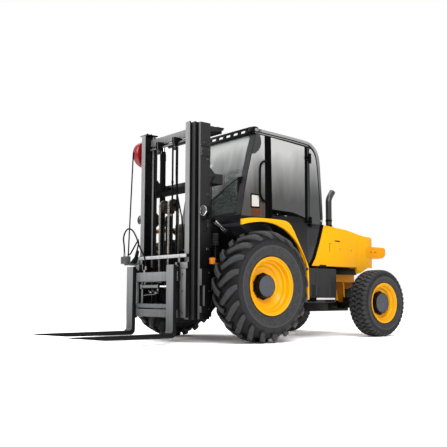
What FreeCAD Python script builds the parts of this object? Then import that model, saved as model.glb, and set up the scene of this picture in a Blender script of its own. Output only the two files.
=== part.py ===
"""Rough terrain forklift, built as a parametric FreeCAD document.

Millimetres, +X forward, +Y left, +Z up. The document's origin is on the ground below the
middle of the machine. Every sub-part is drawn in the axle frame, whose origin is on the ground
below the front axle, and its Placement moves it forward by the front_axle_x of the sheet.
"""
import FreeCAD, Part
import math
import os

import Sketcher

Vector = FreeCAD.Vector

# Driving dimensions, in millimetres and degrees.
DIMENSIONS = {
    # wheels and axles
    "front_axle_x": 232,
    "wheelbase": 2013,
    "front_wheel_radius": 615,
    "rear_wheel_radius": 424,
    "front_tyre_width": 394,
    "rear_tyre_width": 274,
    "front_wheel_y": 823,
    "rear_wheel_y": 820,
    "kingpin_y": 690,
    "front_flange_radius": 327,
    "rear_flange_radius": 255,
    "axle_tube_radius": 75,
    # mast
    "mast_bottom": 257,
    "mast_top": 2419,
    "rail_depth": 140,
    "rail_step": 52,
    "flange_thickness": 16,
    "outer_rail_x": 504,
    "outer_rail_y": 541,
    "tilt_pin_x": 445,
    "tilt_pin_z": 430,
    "tilt_pin_radius": 30,
    "lift_cylinder_x": 515,
    "lift_cylinder_y": 370,
    "lift_rod_radius": 22,
    "free_lift_x": 675,
    "sheave_radius": 60,
    "chain_thickness": 12,
    "chain_width": 30,
    "sheave_y": 88,
    "sheave_z": 1530,
    # carriage and forks
    "fork_face_x": 936,
    "fork_thickness": 45,
    "fork_width": 130,
    "fork_outer_y": 466,
    "fork_length": 1150,
    "fork_top": 840,
    "fork_seat": 110,
    "carriage_half_width": 470,
    "hose_radius": 9,
    "reel_hose_radius": 8,
    # tilt cylinders
    "tilt_base_x": -300,
    "tilt_base_z": 860,
    "tilt_eye_x": 470,
    "tilt_eye_z": 1420,
    "tilt_cylinder_y": 450,
    # cab
    "cab_half_width": 570,
    "cab_split_z": 1340,
    "wall": 40,
    "glass": 6,
    # body
    "bonnet_half_width": 570,
    "lid_half_width": 365,
    "panel": 20,
    "weight_rear_x": -2350,
    "guard_rear_x": -2550,
    "tow_pin_radius": 13,
    "frame_half_width": 335,
    "frame_plate": 35,
    "frame_top": 895,
    "fender_outer_y": 900,
    "fender_inner_y": 585,
}


class Dim:
    """A length with its value and the sheet expression that drives it."""

    def __init__(self, value, text):
        self.value = value
        self.text = text

    def _join(self, other, symbol, value, swap=False):
        right = other.text if isinstance(other, Dim) else repr(other)
        pair = (right, self.text) if swap else (self.text, right)
        return Dim(value, "(%s %s %s)" % (pair[0], symbol, pair[1]))

    def __add__(self, other):
        return self._join(other, "+", self.value + number(other))

    def __radd__(self, other):
        return self._join(other, "+", number(other) + self.value, swap=True)

    def __sub__(self, other):
        return self._join(other, "-", self.value - number(other))

    def __rsub__(self, other):
        return self._join(other, "-", number(other) - self.value, swap=True)

    def __mul__(self, other):
        return self._join(other, "*", self.value * number(other))

    def __rmul__(self, other):
        return self._join(other, "*", number(other) * self.value, swap=True)

    def __truediv__(self, other):
        return self._join(other, "/", self.value / number(other))

    def __neg__(self):
        return Dim(-self.value, "(0 - %s)" % self.text)


def number(size):
    return size.value if isinstance(size, Dim) else size


doc = FreeCAD.newDocument("RoughTerrainForklift")
sheet = doc.addObject("Spreadsheet::Sheet", "Sizes")
for row, (alias, size) in enumerate(DIMENSIONS.items(), start=1):
    sheet.set("A%d" % row, alias)
    sheet.set("B%d" % row, str(size))
    sheet.setAlias("B%d" % row, alias)
doc.recompute()


def dim(alias):
    return Dim(float(sheet.get(alias)), "Sizes." + alias)


PARTS = []


def bind(target, prop, size):
    """Set a property, driven by the sheet where the size comes from it."""
    if isinstance(size, Dim):
        target.setExpression(prop, size.text)
    elif "." in prop:
        target.setExpression(prop, repr(float(size)))
    else:
        setattr(target, prop, size)


def place(target, x=0, y=0, z=0):
    for name, size in (("x", x), ("y", y), ("z", z)):
        if isinstance(size, Dim) or size != 0:
            bind(target, "Placement.Base." + name, size)


def finish(label, target):
    """Name a sub-part and move it from the axle frame to the document's frame."""
    target.Label = label
    bind(target, "Placement.Base.x", dim("front_axle_x"))
    PARTS.append(target)
    return target


# ---- building blocks ---------------------------------------------------------------------


def box(x, y, z):
    """A box between the low and high limits given for each axis."""
    solid = doc.addObject("Part::Box", "Box")
    for prop, limits in (("Length", x), ("Width", y), ("Height", z)):
        bind(solid, prop, limits[1] - limits[0])
    place(solid, x[0], y[0], z[0])
    return solid


def mirrored_boxes(x, y, z):
    """The same box on the left and on the right."""
    return [box(x, y, z), box(x, (-y[1], -y[0]), z)]


def rod(axis, start, radius, length):
    """A cylinder that runs from start along X, Y or Z."""
    solid = doc.addObject("Part::Cylinder", "Rod")
    bind(solid, "Radius", radius)
    bind(solid, "Height", length)
    turn = {"X": (Vector(0, 1, 0), 90), "Y": (Vector(1, 0, 0), -90), "Z": (Vector(0, 0, 1), 0)}
    solid.Placement.Rotation = FreeCAD.Rotation(*turn[axis])
    place(solid, *start)
    return solid


def slanted_rod(start, end, radius):
    """A cylinder between two points of a plane y = constant."""
    first = Vector(*[number(v) for v in start])
    last = Vector(*[number(v) for v in end])
    solid = doc.addObject("Part::Cylinder", "Rod")
    bind(solid, "Radius", radius)
    solid.Height = (last - first).Length
    turn = FreeCAD.Rotation(Vector(0, 0, 1), last - first)
    solid.Placement = FreeCAD.Placement(first, turn)
    return solid


def bent_rod(points, radius):
    """Cylinders from point to point, with a ball at each bend."""
    shapes = [slanted_rod(first, last, radius) for first, last in zip(points, points[1:])]
    for point in points[1:-1]:
        ball = doc.addObject("Part::Sphere", "Ball")
        bind(ball, "Radius", radius)
        place(ball, *point)
        shapes.append(ball)
    return fused(shapes)


def rounded_route(corners):
    """Straight runs joined by tangent arcs, as one wire; prints the radius of each bend."""
    edges = []
    start = corners[0]
    radii = []
    for before, corner, after in zip(corners, corners[1:], corners[2:]):
        back = before - corner
        ahead = after - corner
        half_turn = (math.pi - back.getAngle(ahead)) / 2
        reach = 0.45 * min(back.Length, ahead.Length)
        radius = reach / math.tan(half_turn)
        back.normalize()
        ahead.normalize()
        centre = corner + (back + ahead).normalize() * (radius / math.cos(half_turn))
        middle = centre + (corner - centre).normalize() * radius
        edges.append(Part.LineSegment(start, corner + back * reach).toShape())
        edges.append(Part.Arc(corner + back * reach, middle, corner + ahead * reach).toShape())
        start = corner + ahead * reach
        radii.append(radius)
    edges.append(Part.LineSegment(start, corners[-1]).toShape())
    print("bend radii: " + ", ".join("%.0f" % radius for radius in radii))
    return Part.Wire(edges)


def plane_of(body, name):
    return next(o for o in body.Origin.OriginFeatures if o.Role == name)


def outline(body, plane, points):
    """A closed sketch of straight lines whose corners are held by driven dimensions."""
    sketch = body.newObject("Sketcher::SketchObject", "Outline")
    sketch.AttachmentSupport = [(plane_of(body, plane), "")]
    sketch.MapMode = "FlatFace"
    corners = [Vector(number(u), number(v), 0) for u, v in points]
    count = len(corners)
    for i in range(count):
        sketch.addGeometry(Part.LineSegment(corners[i], corners[(i + 1) % count]), False)
    for i in range(count):
        sketch.addConstraint(Sketcher.Constraint("Coincident", i, 2, (i + 1) % count, 1))
    for i, point in enumerate(points):
        for kind, size in zip(("DistanceX", "DistanceY"), point):
            held = Sketcher.Constraint(kind, -1, 1, i, 1, float(number(size)))
            index = sketch.addConstraint(held)
            if isinstance(size, Dim):
                sketch.setExpression("Constraints[%d]" % index, size.text)
    return sketch


def prism(points, y, plane="XZ_Plane"):
    """A side outline of (x, z) corners, padded between two places across the machine.

    With plane XY_Plane the outline is a plan of (x, y) corners, padded between two heights.
    """
    body = doc.addObject("PartDesign::Body", "Prism")
    sketch = outline(body, plane, points)
    pad = body.newObject("PartDesign::Pad", "Pad")
    pad.Profile = sketch
    bind(pad, "Length", y[1] - y[0])
    if plane == "XZ_Plane":
        pad.Reversed = True
        place(body, 0, y[0], 0)
    else:
        place(body, 0, 0, y[0])
    return body


def turned(points, centre):
    """A section of (y, radius) corners, turned once around a line across the machine."""
    body = doc.addObject("PartDesign::Body", "Turned")
    sketch = outline(body, "YZ_Plane", points)
    turn = body.newObject("PartDesign::Revolution", "Revolution")
    turn.Profile = sketch
    turn.ReferenceAxis = (sketch, ["H_Axis"])
    turn.Angle = 360
    place(body, *centre)
    return body


def fused(shapes):
    joined = doc.addObject("Part::MultiFuse", "Fused")
    joined.Shapes = shapes
    joined.Refine = True
    return joined


def gathered(shapes):
    """Solids that don't touch, or a lone one, as one shape."""
    group = doc.addObject("Part::Compound", "Gathered")
    group.Links = shapes
    return group


def cut(base, tools):
    result = doc.addObject("Part::Cut", "Cut")
    result.Base = base
    result.Tool = tools[0] if len(tools) == 1 else fused(tools)
    result.Refine = True
    return result


def common(first, second):
    result = doc.addObject("Part::Common", "Common")
    result.Base = first
    result.Tool = second
    return result


def offset_line(points, distance):
    """An open line moved sideways: to the right of its direction where distance is positive."""
    corners = [Vector(number(u), number(v), 0) for u, v in points]
    moved = []
    for i, corner in enumerate(corners):
        sides = []
        if i > 0:
            sides.append((corner - corners[i - 1]).normalize())
        if i < len(corners) - 1:
            sides.append((corners[i + 1] - corner).normalize())
        normals = [Vector(s.y, -s.x, 0) for s in sides]
        total = sum(normals[1:], normals[0])
        scale = distance / (total.normalize().dot(normals[0]))
        shift = total * scale
        moved.append((corner.x + shift.x, corner.y + shift.y))
    return moved


def inset(points, distance):
    """A closed outline moved inwards, or outwards where distance is negative."""
    corners = [(number(p[0]), number(p[1])) for p in points]
    area = sum(a[0] * b[1] - b[0] * a[1] for a, b in zip(corners, corners[1:] + corners[:1]))
    clockwise = area < 0
    closed = [corners[-1]] + corners + [corners[0]]
    return offset_line(closed, distance if clockwise else -distance)[1:-1]


def band(points, first, second, y):
    """A strip between two lines that follow the same open line at two distances."""
    near = offset_line(points, first)
    far = offset_line(points, second)
    return prism(near + far[::-1], y)


# ---- wheels ------------------------------------------------------------------------------

rear_axle_x = -dim("wheelbase")


def tyre_section(radius, width, flange):
    """Carcass and tread as one plain ring around the rim."""
    half = width / 2
    side = [
        (half - 40, flange - 23),
        (half - 40, flange + 3),
        (half - 16, flange + 18),
        (half - 3, flange + (radius - flange) * 0.30),
        (half, flange + (radius - flange) * 0.48),
        (half - 4, flange + (radius - flange) * 0.68),
        (half - 16, flange + (radius - flange) * 0.86),
        (half - 42, radius - 10),
        (half * 0.45, radius),
    ]
    return side + [(-y, r) for y, r in reversed(side)]


def tyre(label, centre, radius, width, flange):
    finish_wheel(label, turned(tyre_section(radius, width, flange), (0, 0, 0)), centre)


def rim(label, centre, side, sizes):
    """Deep dished rim with its disc and the hub that shows in the middle of it."""
    half, flange, hub, face = sizes
    seat = flange - 24
    well = flange - 48
    inner = flange - 40
    dish = well - 12
    section = [
        (half, flange),
        (half, flange - 14),
        (half - 22, inner),
        (face + 8, inner - 6),
        (face - 16, dish - 20),
        (face - 30, dish - 62),
        (face - 30, hub),
        (face, hub),
        (face, 0),
        (-25, 0),
        (-25, hub + 10),
        (face - 46, hub + 10),
        (face - 46, dish - 62),
        (face - 34, dish - 10),
        (-half + 70, dish),
        (-half + 55, inner),
        (-half + 22, inner),
        (-half, flange - 14),
        (-half, flange),
        (-half + 10, flange),
        (-half + 15, seat),
        (-half + 55, seat - 4),
        (-half + 74, well),
        (half - 110, well),
        (half - 92, seat - 4),
        (half - 15, seat),
        (half - 10, flange),
    ]
    points = [(side * y, r) for y, r in section]
    finish_wheel(label, turned(points, (0, 0, 0)), centre)


def finish_wheel(label, body, centre):
    finish(label, body)
    bind(body, "Placement.Base.x", dim("front_axle_x") + centre[0])
    bind(body, "Placement.Base.y", centre[1])
    bind(body, "Placement.Base.z", centre[2])


def wheels():
    for name, side in (("left", 1), ("right", -1)):
        centre = (0, side * dim("front_wheel_y"), dim("front_wheel_radius"))
        flange = dim("front_flange_radius")
        tyre("front_tyre_" + name, centre, dim("front_wheel_radius"), dim("front_tyre_width"), flange)
        rim("front_rim_" + name, centre, side, (173, flange, 115, 93))
        centre = (rear_axle_x, side * dim("rear_wheel_y"), dim("rear_wheel_radius"))
        flange = dim("rear_flange_radius")
        tyre("rear_tyre_" + name, centre, dim("rear_wheel_radius"), dim("rear_tyre_width"), flange)
        rim("rear_rim_" + name, centre, side, (122, flange, 110, 60))


# ---- axles -------------------------------------------------------------------------------


def front_axle():
    height = dim("front_wheel_radius")
    tube = dim("axle_tube_radius")
    drum_end = dim("front_wheel_y") - 33
    shapes = [rod("Y", (0, -drum_end, height), tube, drum_end * 2)]
    shapes.append(turned([(-230, 0), (-230, 80), (-110, 165), (110, 165), (230, 80), (230, 0)], (0, 0, height)))
    for side in (1, -1):
        start = drum_end - 150 if side > 0 else -drum_end
        shapes.append(rod("Y", (0, start, height), 175, 150))
        low, high = (290, 345) if side > 0 else (-345, -290)
        shapes.append(box((-70, 70), (low, high), (height + 40, height + 85)))
    finish("front_axle", fused(shapes))


def rear_axle():
    height = dim("rear_wheel_radius")
    pin = dim("kingpin_y")
    shapes = [box((rear_axle_x - 60, rear_axle_x + 60), (110 - pin, pin - 110), (height - 70, height + 70))]
    shapes.append(box((rear_axle_x - 80, rear_axle_x + 80), (-90, 90), (height - 90, height + 90)))
    for side in (1, -1):
        low, high = (pin - 115, pin) if side > 0 else (-pin, 115 - pin)
        for bottom in (height + 72, height - 102):
            shapes.append(box((rear_axle_x - 45, rear_axle_x + 45), (low, high), (bottom, bottom + 30)))
            shapes.append(rod("Z", (rear_axle_x, side * pin, bottom), 45, 30))
        low, high = (pin - 115, pin - 70) if side > 0 else (70 - pin, 115 - pin)
        shapes.append(box((rear_axle_x - 45, rear_axle_x + 45), (low, high), (height - 102, height + 102)))
    bores = [rod("Z", (rear_axle_x, side * pin, height - 120), 22.05, 240) for side in (1, -1)]
    finish("rear_axle", cut(fused(shapes), bores))


def rear_knuckle(name, side):
    """Kingpin, its block between the axle's two arms, and the spindle of the wheel."""
    height = dim("rear_wheel_radius")
    pin = dim("kingpin_y")
    block = rod("Z", (rear_axle_x, side * pin, height - 66), 42, 132)
    kingpin = rod("Z", (rear_axle_x, side * pin, height - 108), 22, 216)
    reach = 66
    start = pin if side > 0 else -pin - reach
    spindle = rod("Y", (rear_axle_x, start, height), 38, reach)
    flange = rod("Y", (rear_axle_x, pin + 68 if side > 0 else -pin - 92, height), 95, 24)
    link = rod("Y", (rear_axle_x, pin + 60 if side > 0 else -pin - 70, height), 38, 10)
    finish("rear_knuckle_" + name, fused([block, kingpin, spindle, link, flange]))


# ---- chassis -----------------------------------------------------------------------------


def chassis_frame():
    half = dim("frame_half_width")
    plate = dim("frame_plate")
    top = dim("frame_top")
    side_line = [(360, 400), (360, top), (-1620, top), (-1620, 450), (-360, 450), (-170, 702),
                 (170, 702), (230, 400)]
    shapes = [prism(side_line, (half - plate, half)), prism(side_line, (-half, plate - half))]
    shapes.append(box((325, 360), (-half, half), (400, top)))
    shapes.append(box((-1620, -560), (-half, half), (330, 451)))
    shapes.append(box((-420, -360), (-half, half), (700, top)))
    shapes.append(box((-1620, -1585), (-half, half), (450, 620)))
    base_x = dim("tilt_base_x")
    base_z = dim("tilt_base_z")
    shapes += mirrored_boxes((base_x - 55, base_x + 55), (half - 10, 400), (base_z - 60, base_z + 34))
    shapes.append(rod("Y", (base_x, 395, base_z), 20, 90))
    shapes.append(rod("Y", (base_x, -485, base_z), 20, 85))
    finish("chassis_frame", fused(shapes))


def mast_mounts():
    """Ears in front of the frame with the pins that the mast tilts on."""
    half = dim("frame_half_width")
    pin_x = dim("tilt_pin_x")
    pin_z = dim("tilt_pin_z")
    ear = [(300, 400), (300, 640), (360, 640), (pin_x + 35, 478), (pin_x + 45, 430), (pin_x + 20, 382),
           (pin_x - 45, 372)]
    shapes = [prism(ear, (430, 470)), prism(ear, (-470, -430))]
    shapes += mirrored_boxes((300, 360), (half, 440), (400, 640))
    shapes.append(rod("Y", (pin_x, 440, pin_z), dim("tilt_pin_radius"), 100))
    shapes.append(rod("Y", (pin_x, -540, pin_z), dim("tilt_pin_radius"), 100))
    finish("mast_mounts", fused(shapes))


def rear_axle_mount():
    """Yellow casting between the frame, the counterweight and the rear axle."""
    height = dim("rear_wheel_radius")
    shapes = [
        box((-2200, -1622), (-300, 300), (700, 872)),
        box((-1870, -1622), (-300, 300), (452, 701)),
        box((-1930, -1869), (-110, 110), (height - 60, 701)),
        box((-2200, -2110), (-110, 110), (height - 60, 701)),
    ]
    finish("rear_axle_mount", fused(shapes))


def engine_block():
    line = [(-2020, 900), (-2020, 1225), (-1330, 1225), (-1330, 900)]
    finish("engine_block", prism(line, (-250, 250)))


def tanks():
    inner = dim("frame_half_width")
    for label, y in (("fuel_tank", (inner, 600)), ("hydraulic_tank", (-600, -inner))):
        line = [(-1010, 440), (-1010, 850), (-1495, 850), (-1495, 470), (-1465, 430), (-1030, 430)]
        finish(label, prism(line, y))


def steps():
    shapes = mirrored_boxes((-1330, -990), (602, 720), (462, 490))
    shapes += mirrored_boxes((-1320, -1300), (600.5, 700), (440, 463))
    shapes += mirrored_boxes((-1020, -1000), (600.5, 700), (440, 463))
    finish("steps", fused(shapes))


# ---- body --------------------------------------------------------------------------------

BONNET_LINE = [(-2083, 880), (-2083, 1302), (-1750, 1362), (-1296, 1404), (-1285, 1378), (-1214, 1168),
               (-1134, 978), (-1062, 885)]


# The lid's hinge line, at the rear edge of its top.
HINGE_X = -2070
HINGE_Z = 1316


def side_panels():
    half = dim("bonnet_half_width")
    lid = dim("lid_half_width") + 5
    inner = inset(BONNET_LINE, 20)
    shapes = []
    for side in (1, -1):
        outer_y = (lid, half) if side > 0 else (-half, -lid)
        inner_y = (lid - 10, half - 20) if side > 0 else (20 - half, 10 - lid)
        open_line = [(-2200, inner[0][1] - 60), (-2200, 1282), inner[1], inner[2], inner[3],
                     (-1200, 1378), (-1100, 1100), (-1000, 800)]
        shapes.append(cut(prism(BONNET_LINE, outer_y), [prism(open_line, inner_y)]))
    stack_hole = rod("Z", (-1530, 450, 1200), 46, 400)
    finish("side_panels", cut(fused(shapes), [stack_hole]))


def bonnet():
    half = dim("lid_half_width")
    line = [(-2068, 1305), (-1750, 1362), (-1296, 1404)]
    knuckles = [rod("Y", (HINGE_X, y, HINGE_Z), 8, 60) for y in (200, -260)]
    knuckles += mirrored_boxes((HINGE_X, -2040), (205, 255), (HINGE_Z - 12, HINGE_Z - 3))
    finish("bonnet", fused([band(line, 0, 20, (-half, half))] + knuckles))


def counterweight():
    rear = dim("weight_rear_x")
    side_line = [(-2088, 880), (-2088, 1303), (-2240, 1296), (-2310, 1262), (rear, 1190), (rear, 960),
                 (-2330, 900), (-2300, 880)]
    plan = [(-2088, -570), (-2200, -570), (-2290, -535), (-2335, -450), (rear, -300), (rear, 300),
            (-2335, 450), (-2290, 535), (-2200, 570), (-2088, 570)]
    core = common(prism(side_line, (-600, 600)), prism(plan, (800, 1400), "XY_Plane"))
    guard_end = dim("guard_rear_x")
    guard = [(-2190, -555), (guard_end + 40, -555), (guard_end, -520), (guard_end, -455),
             (guard_end + 40, -420), (-2190, -420)]
    other = [(x, -y) for x, y in guard]
    shapes = [core, prism(guard, (1010, 1170), "XY_Plane"), prism(other, (1010, 1170), "XY_Plane")]
    shapes += [rod("Y", (HINGE_X, y, HINGE_Z), 8, 30) for y in (262, -292, 168, -198)]
    shapes += mirrored_boxes((-2110, HINGE_X - 4), (264, 290), (HINGE_Z - 18, HINGE_Z - 2))
    shapes += mirrored_boxes((-2110, HINGE_X - 4), (170, 196), (HINGE_Z - 18, HINGE_Z - 2))
    jaw = box((rear - 60, rear + 40), (-70, 70), (965, 1060))
    throat = box((rear - 80, rear - 8), (-50, 50), (990, 1035))
    pin_hole = rod("Z", (rear - 32, 0, 940), dim("tow_pin_radius"), 140)
    finish("counterweight", cut(fused(shapes + [jaw]), [throat, pin_hole]))


def exhaust_stack():
    x = -1530
    shapes = [rod("Z", (x, 450, 1230), 40, 512)]
    shapes.append(slanted_rod((x, 450, 1730), (x - 80, 450, 1868), 40))
    finish("exhaust_stack", fused(shapes))


FENDER_TOP = [(390, 1360), (-60, 1360), (-320, 1352), (-400, 1318), (-530, 1100), (-672, 860), (-682, 470)]
FENDER_LIP = [(385, 1265), (240, 1300), (70, 1322), (-60, 1318), (-170, 1300), (-330, 1240), (-470, 1130),
              (-590, 980), (-650, 860), (-652, 470)]


def fender(name, side):
    outer = dim("fender_outer_y")
    inner = dim("fender_inner_y")
    skin_y = (inner, outer) if side > 0 else (-outer, -inner)
    lip_y = (outer - 30, outer) if side > 0 else (-outer, 30 - outer)
    taper = [(400, side * 580), (400, side * 866), (80, side * 580)]
    skin = cut(band(FENDER_TOP, -0.01, -14, skin_y), [prism(taper, (1300, 1400), "XY_Plane")])
    lip = prism(FENDER_TOP + FENDER_LIP[::-1], lip_y)
    finish("fender_" + name, fused([skin, lip]))


# ---- cab ---------------------------------------------------------------------------------

CAB_FRONT = [(90, 1300), (90, 1420), (60, 1540), (30, 1710), (-10, 1890), (-60, 2070), (-90, 2200),
             (-165, 2418)]
CAB_REAR = [(-1085, 2382), (-1165, 2325), (-1205, 2230), (-1228, 2110), (-1242, 1910), (-1260, 1650), (-1280, 1460),
            (-1270, 1380), (-1200, 1170), (-1120, 980), (-1030, 905)]
CAB_LINE = CAB_FRONT[::-1] + [(-250, 980)] + CAB_REAR[::-1]
DOOR_LINE = [(-330, 2366), (-345, 1440), (-420, 1345), (-560, 1120), (-680, 940), (-1000, 940),
             (-1000, 2362)]
WINDOW_LINE = [(-368, 2346), (-386, 1468), (-966, 1468), (-966, 2342)]
FRONT_SIDE_LINE = [(-222, 2370), (-155, 2190), (-70, 1880), (5, 1460), (-305, 1460), (-290, 2366)]
# The door's hinge line and the heights of its two hinges.
DOOR_HINGE_X = -1030
DOOR_HINGES = (1400, 2200)
QUARTER_LINE = [(-1045, 2338), (-1115, 2304), (-1158, 2220), (-1178, 2110), (-1192, 1900), (-1215, 1480),
                (-1045, 1480)]


def cab_frame():
    half = dim("cab_half_width")
    wall = dim("wall")
    shell = cut(prism(CAB_LINE, (-half, half)), [prism(inset(CAB_LINE, 40), (wall - half, half - wall))])
    openings = [
        box((-400, 200), (-490, 490), (1440, 2374)),
        box((-1400, -1150), (-470, 470), (1500, 2180)),
        box((-1050, -190), (wall - half, half - wall), (2200, 2500)),
    ]
    door_y = (half - 60, half + 30)
    right_y = (-half - 30, 60 - half)
    openings.append(prism(inset(DOOR_LINE, -6), door_y))
    openings.append(prism(WINDOW_LINE, right_y))
    for line in (FRONT_SIDE_LINE, QUARTER_LINE):
        openings += [prism(line, door_y), prism(line, right_y)]
    shapes = [cut(shell, openings)]
    for start in (-32, 42):
        shapes += door_knuckles(start, 30)
        shapes += [box((DOOR_HINGE_X - 12, DOOR_HINGE_X), (half - 10, half + 20), (z + start, z + start + 30))
                   for z in DOOR_HINGES]
    split = dim("cab_split_z")
    above = box((-2000, 500), (-800, 800), (split, 3000))
    below = box((-2000, 500), (-800, 800), (0, split))
    whole = fused(shapes)
    finish("cab_frame", common(whole, above))
    finish("cab_base", common(whole, below))


def grab_handles():
    half = dim("cab_half_width")
    for_hand = 50
    handles = []
    for side in (1, -1):
        wall = side * half
        out = side * (half + for_hand)
        handles.append(bent_rod([(-260, wall, 1620), (-215, out, 1640), (-180, out, 1690), (-180, out, 2010),
                                 (-215, out, 2070), (-260, wall, 2090)], 11))
    trimmed = [box((-400, 0), (half, half + 200), (1500, 2200)), box((-400, 0), (-half - 200, -half), (1500, 2200))]
    finish("grab_handles", common(fused(handles), fused(trimmed)))


def cab_roof():
    half = dim("cab_half_width")
    line = [(-143, 2444), (-163, 2420), (-1086, 2384), (-1158, 2334), (-1135, 2372), (-1090, 2402),
            (-1030, 2422), (-540, 2447), (-143, 2465)]
    skylight = box((-640, -190), (-450, 450), (2300, 2500))
    slab = cut(prism(line[::-1], (-half, half)), [skylight])
    bars = [box((-650, -180), (y - 9, y + 9), (2422, 2440)) for y in range(-375, 376, 75)]
    brackets = mirrored_boxes((-250, -180), (480, 545), (2430, 2500))
    finish("cab_roof", fused([slab] + bars + brackets))


def windows():
    half = dim("cab_half_width")
    glass = dim("glass")
    front = [(p[0], p[1]) for p in CAB_FRONT[1:]]
    front[0] = (84, 1450)
    front[-1] = (-148, 2370)
    finish("windscreen", band(front, -17, -11, (-488, 488)))
    rear = [(-1215, 2178), (-1240, 1910), (-1260, 1650), (-1277, 1502)]
    finish("rear_window", band(rear, -17, -11, (-468, 468)))
    left = (half - 23, half - 23 + glass)
    right = (23 - half - glass, 23 - half)
    panes = []
    for line in (FRONT_SIDE_LINE, QUARTER_LINE):
        panes += [prism(inset(line, 1), left), prism(inset(line, 1), right)]
    panes.append(prism(inset(WINDOW_LINE, 1), right))
    finish("side_windows", fused(panes))


def door_knuckles(start, height):
    """Hinge knuckles on the door's rear edge, from each start height upwards."""
    half = dim("cab_half_width")
    return [rod("Z", (DOOR_HINGE_X, half + 20, start_z + start), 11, height) for start_z in DOOR_HINGES]


def door():
    half = dim("cab_half_width")
    wall = dim("wall")
    slab = prism(DOOR_LINE, (half - wall, half))
    leaves = [box((DOOR_HINGE_X, -975), (half + 12, half + 20), (z, z + 40)) for z in DOOR_HINGES]
    leaves += [box((-990, -975), (half - 10, half + 20), (z, z + 40)) for z in DOOR_HINGES]
    panel = cut(slab, [prism(WINDOW_LINE, (half - 60, half + 30))])
    finish("door_left", fused([panel] + leaves + door_knuckles(0, 40)))
    glass = dim("glass")
    finish("door_glass", prism(inset(WINDOW_LINE, 1), (half - 23, half - 23 + glass)))


def cab_interior():
    line = [(-960, 1010), (-960, 1330), (-430, 1330), (-430, 1010)]
    finish("seat_pedestal", prism(line, (-300, 300)))
    cushion = box((-900, -420), (-250, 250), (1331, 1470))
    back = prism([(-870, 1471), (-960, 2010), (-1060, 2000), (-1000, 1471)], (-240, 240))
    finish("seat", fused([cushion, back]))
    line = [(38, 1345), (42, 1420), (18, 1560), (-130, 1545), (-150, 1470), (-70, 1400), (-60, 1345)]
    finish("dashboard", prism(line, (-480, 480)))
    column = slanted_rod((-110, 0, 1380), (-235, 0, 1700), 26)
    ring = doc.addObject("Part::Torus", "Ring")
    ring.Radius1 = 185
    ring.Radius2 = 15
    tilt = FreeCAD.Rotation(Vector(0, 1, 0), -21)
    ring.Placement = FreeCAD.Placement(Vector(-240, 0, 1712), tilt)
    spoke = doc.addObject("Part::Box", "Spoke")
    spoke.Length = 40
    spoke.Width = 360
    spoke.Height = 14
    spoke.Placement = FreeCAD.Placement(Vector(-258, -180, 1698), tilt)
    finish("steering_wheel", cut(fused([column, ring, spoke]), [box((-300, -40), (-60, 60), (1300, 1549))]))


# ---- mast --------------------------------------------------------------------------------

rail_bottom = dim("mast_bottom")
rail_top = dim("mast_top")
depth = dim("rail_depth")
flange = dim("flange_thickness")
outer_x = dim("outer_rail_x")
middle_x = outer_x + dim("rail_step")
inner_x = middle_x + dim("rail_step")


def rails(rear_x, flange_y, web_y):
    """Left and right rails: a web across the machine's length and a flange at each end of it."""
    height = (rail_bottom, rail_top)
    shapes = mirrored_boxes((rear_x, rear_x + depth), web_y, height)
    shapes += mirrored_boxes((rear_x, rear_x + flange), flange_y, height)
    shapes += mirrored_boxes((rear_x + depth - flange, rear_x + depth), flange_y, height)
    return shapes


def mast_outer():
    face = dim("outer_rail_y")
    shapes = rails(outer_x, (face - 34, face), (face - 12, face))
    shapes.append(box((460, 545), (15 - face, face - 15), (280, 358)))
    for low, high in ((2335, 2392), (1750, 1860)):
        shapes += mirrored_boxes((312, outer_x + 10), (face - 26, face), (low, high))
        shapes.append(box((312, 350), (-face, face), (low, high)))
    pin_x = dim("tilt_pin_x")
    pin_z = dim("tilt_pin_z")
    ear = [(outer_x + 10, 300), (outer_x + 10, 560), (pin_x - 30, 480), (pin_x - 45, 430), (pin_x - 25, 385)]
    shapes += [prism(ear, (478, face)), prism(ear, (-face, -478))]
    block = [(508, rail_bottom), (508, 800), (644, 800), (644, 620), (600, 620), (600, 350), (644, 350),
             (644, rail_bottom)]
    shapes += [prism(block, (face - 5, 585)), prism(block, (-585, 5 - face))]
    eye_x = dim("tilt_eye_x")
    eye_z = dim("tilt_eye_z")
    ear = [(outer_x + 10, eye_z - 90), (outer_x + 10, eye_z + 90), (eye_x - 20, eye_z + 34),
           (eye_x - 38, eye_z), (eye_x - 20, eye_z - 34)]
    shapes += [prism(ear, (495, face)), prism(ear, (-face, -495))]
    shapes.append(rod("Y", (eye_x, 415, eye_z), 15, 90))
    shapes.append(rod("Y", (eye_x, -505, eye_z), 15, 90))
    bores = [rod("Y", (pin_x, y, pin_z), dim("tilt_pin_radius") + 0.1, 100) for y in (475, -575)]
    finish("mast_outer", cut(fused(shapes), bores))


def headlamps():
    """Round lamps on brackets beside the outer rails."""
    face = dim("outer_rail_y")
    shapes = []
    for side in (1, -1):
        arm = (face, 660) if side > 0 else (-660, -face)
        plate = (590, 660) if side > 0 else (-660, -590)
        shapes.append(box((580, 610), arm, (1330, 1342)))
        shapes.append(box((598, 610), plate, (1341, 1480)))
        shapes.append(rod("X", (609, side * 625, 1420), 40, 20))
        shapes.append(rod("X", (628, side * 625, 1420), 58, 42))
    finish("headlamps", fused(shapes))


def lift_cylinders():
    radius = dim("lift_rod_radius")
    x = dim("lift_cylinder_x")
    y = dim("lift_cylinder_y")
    barrels = [rod("Z", (x, side * y, 358), 34, 1882) for side in (1, -1)]
    bores = [rod("Z", (x, side * y, 400), radius + 1, 1900) for side in (1, -1)]
    finish("lift_cylinders", cut(fused(barrels), bores))
    finish("lift_rods", fused([rod("Z", (x, side * y, 420), radius, 1890) for side in (1, -1)]))


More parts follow.
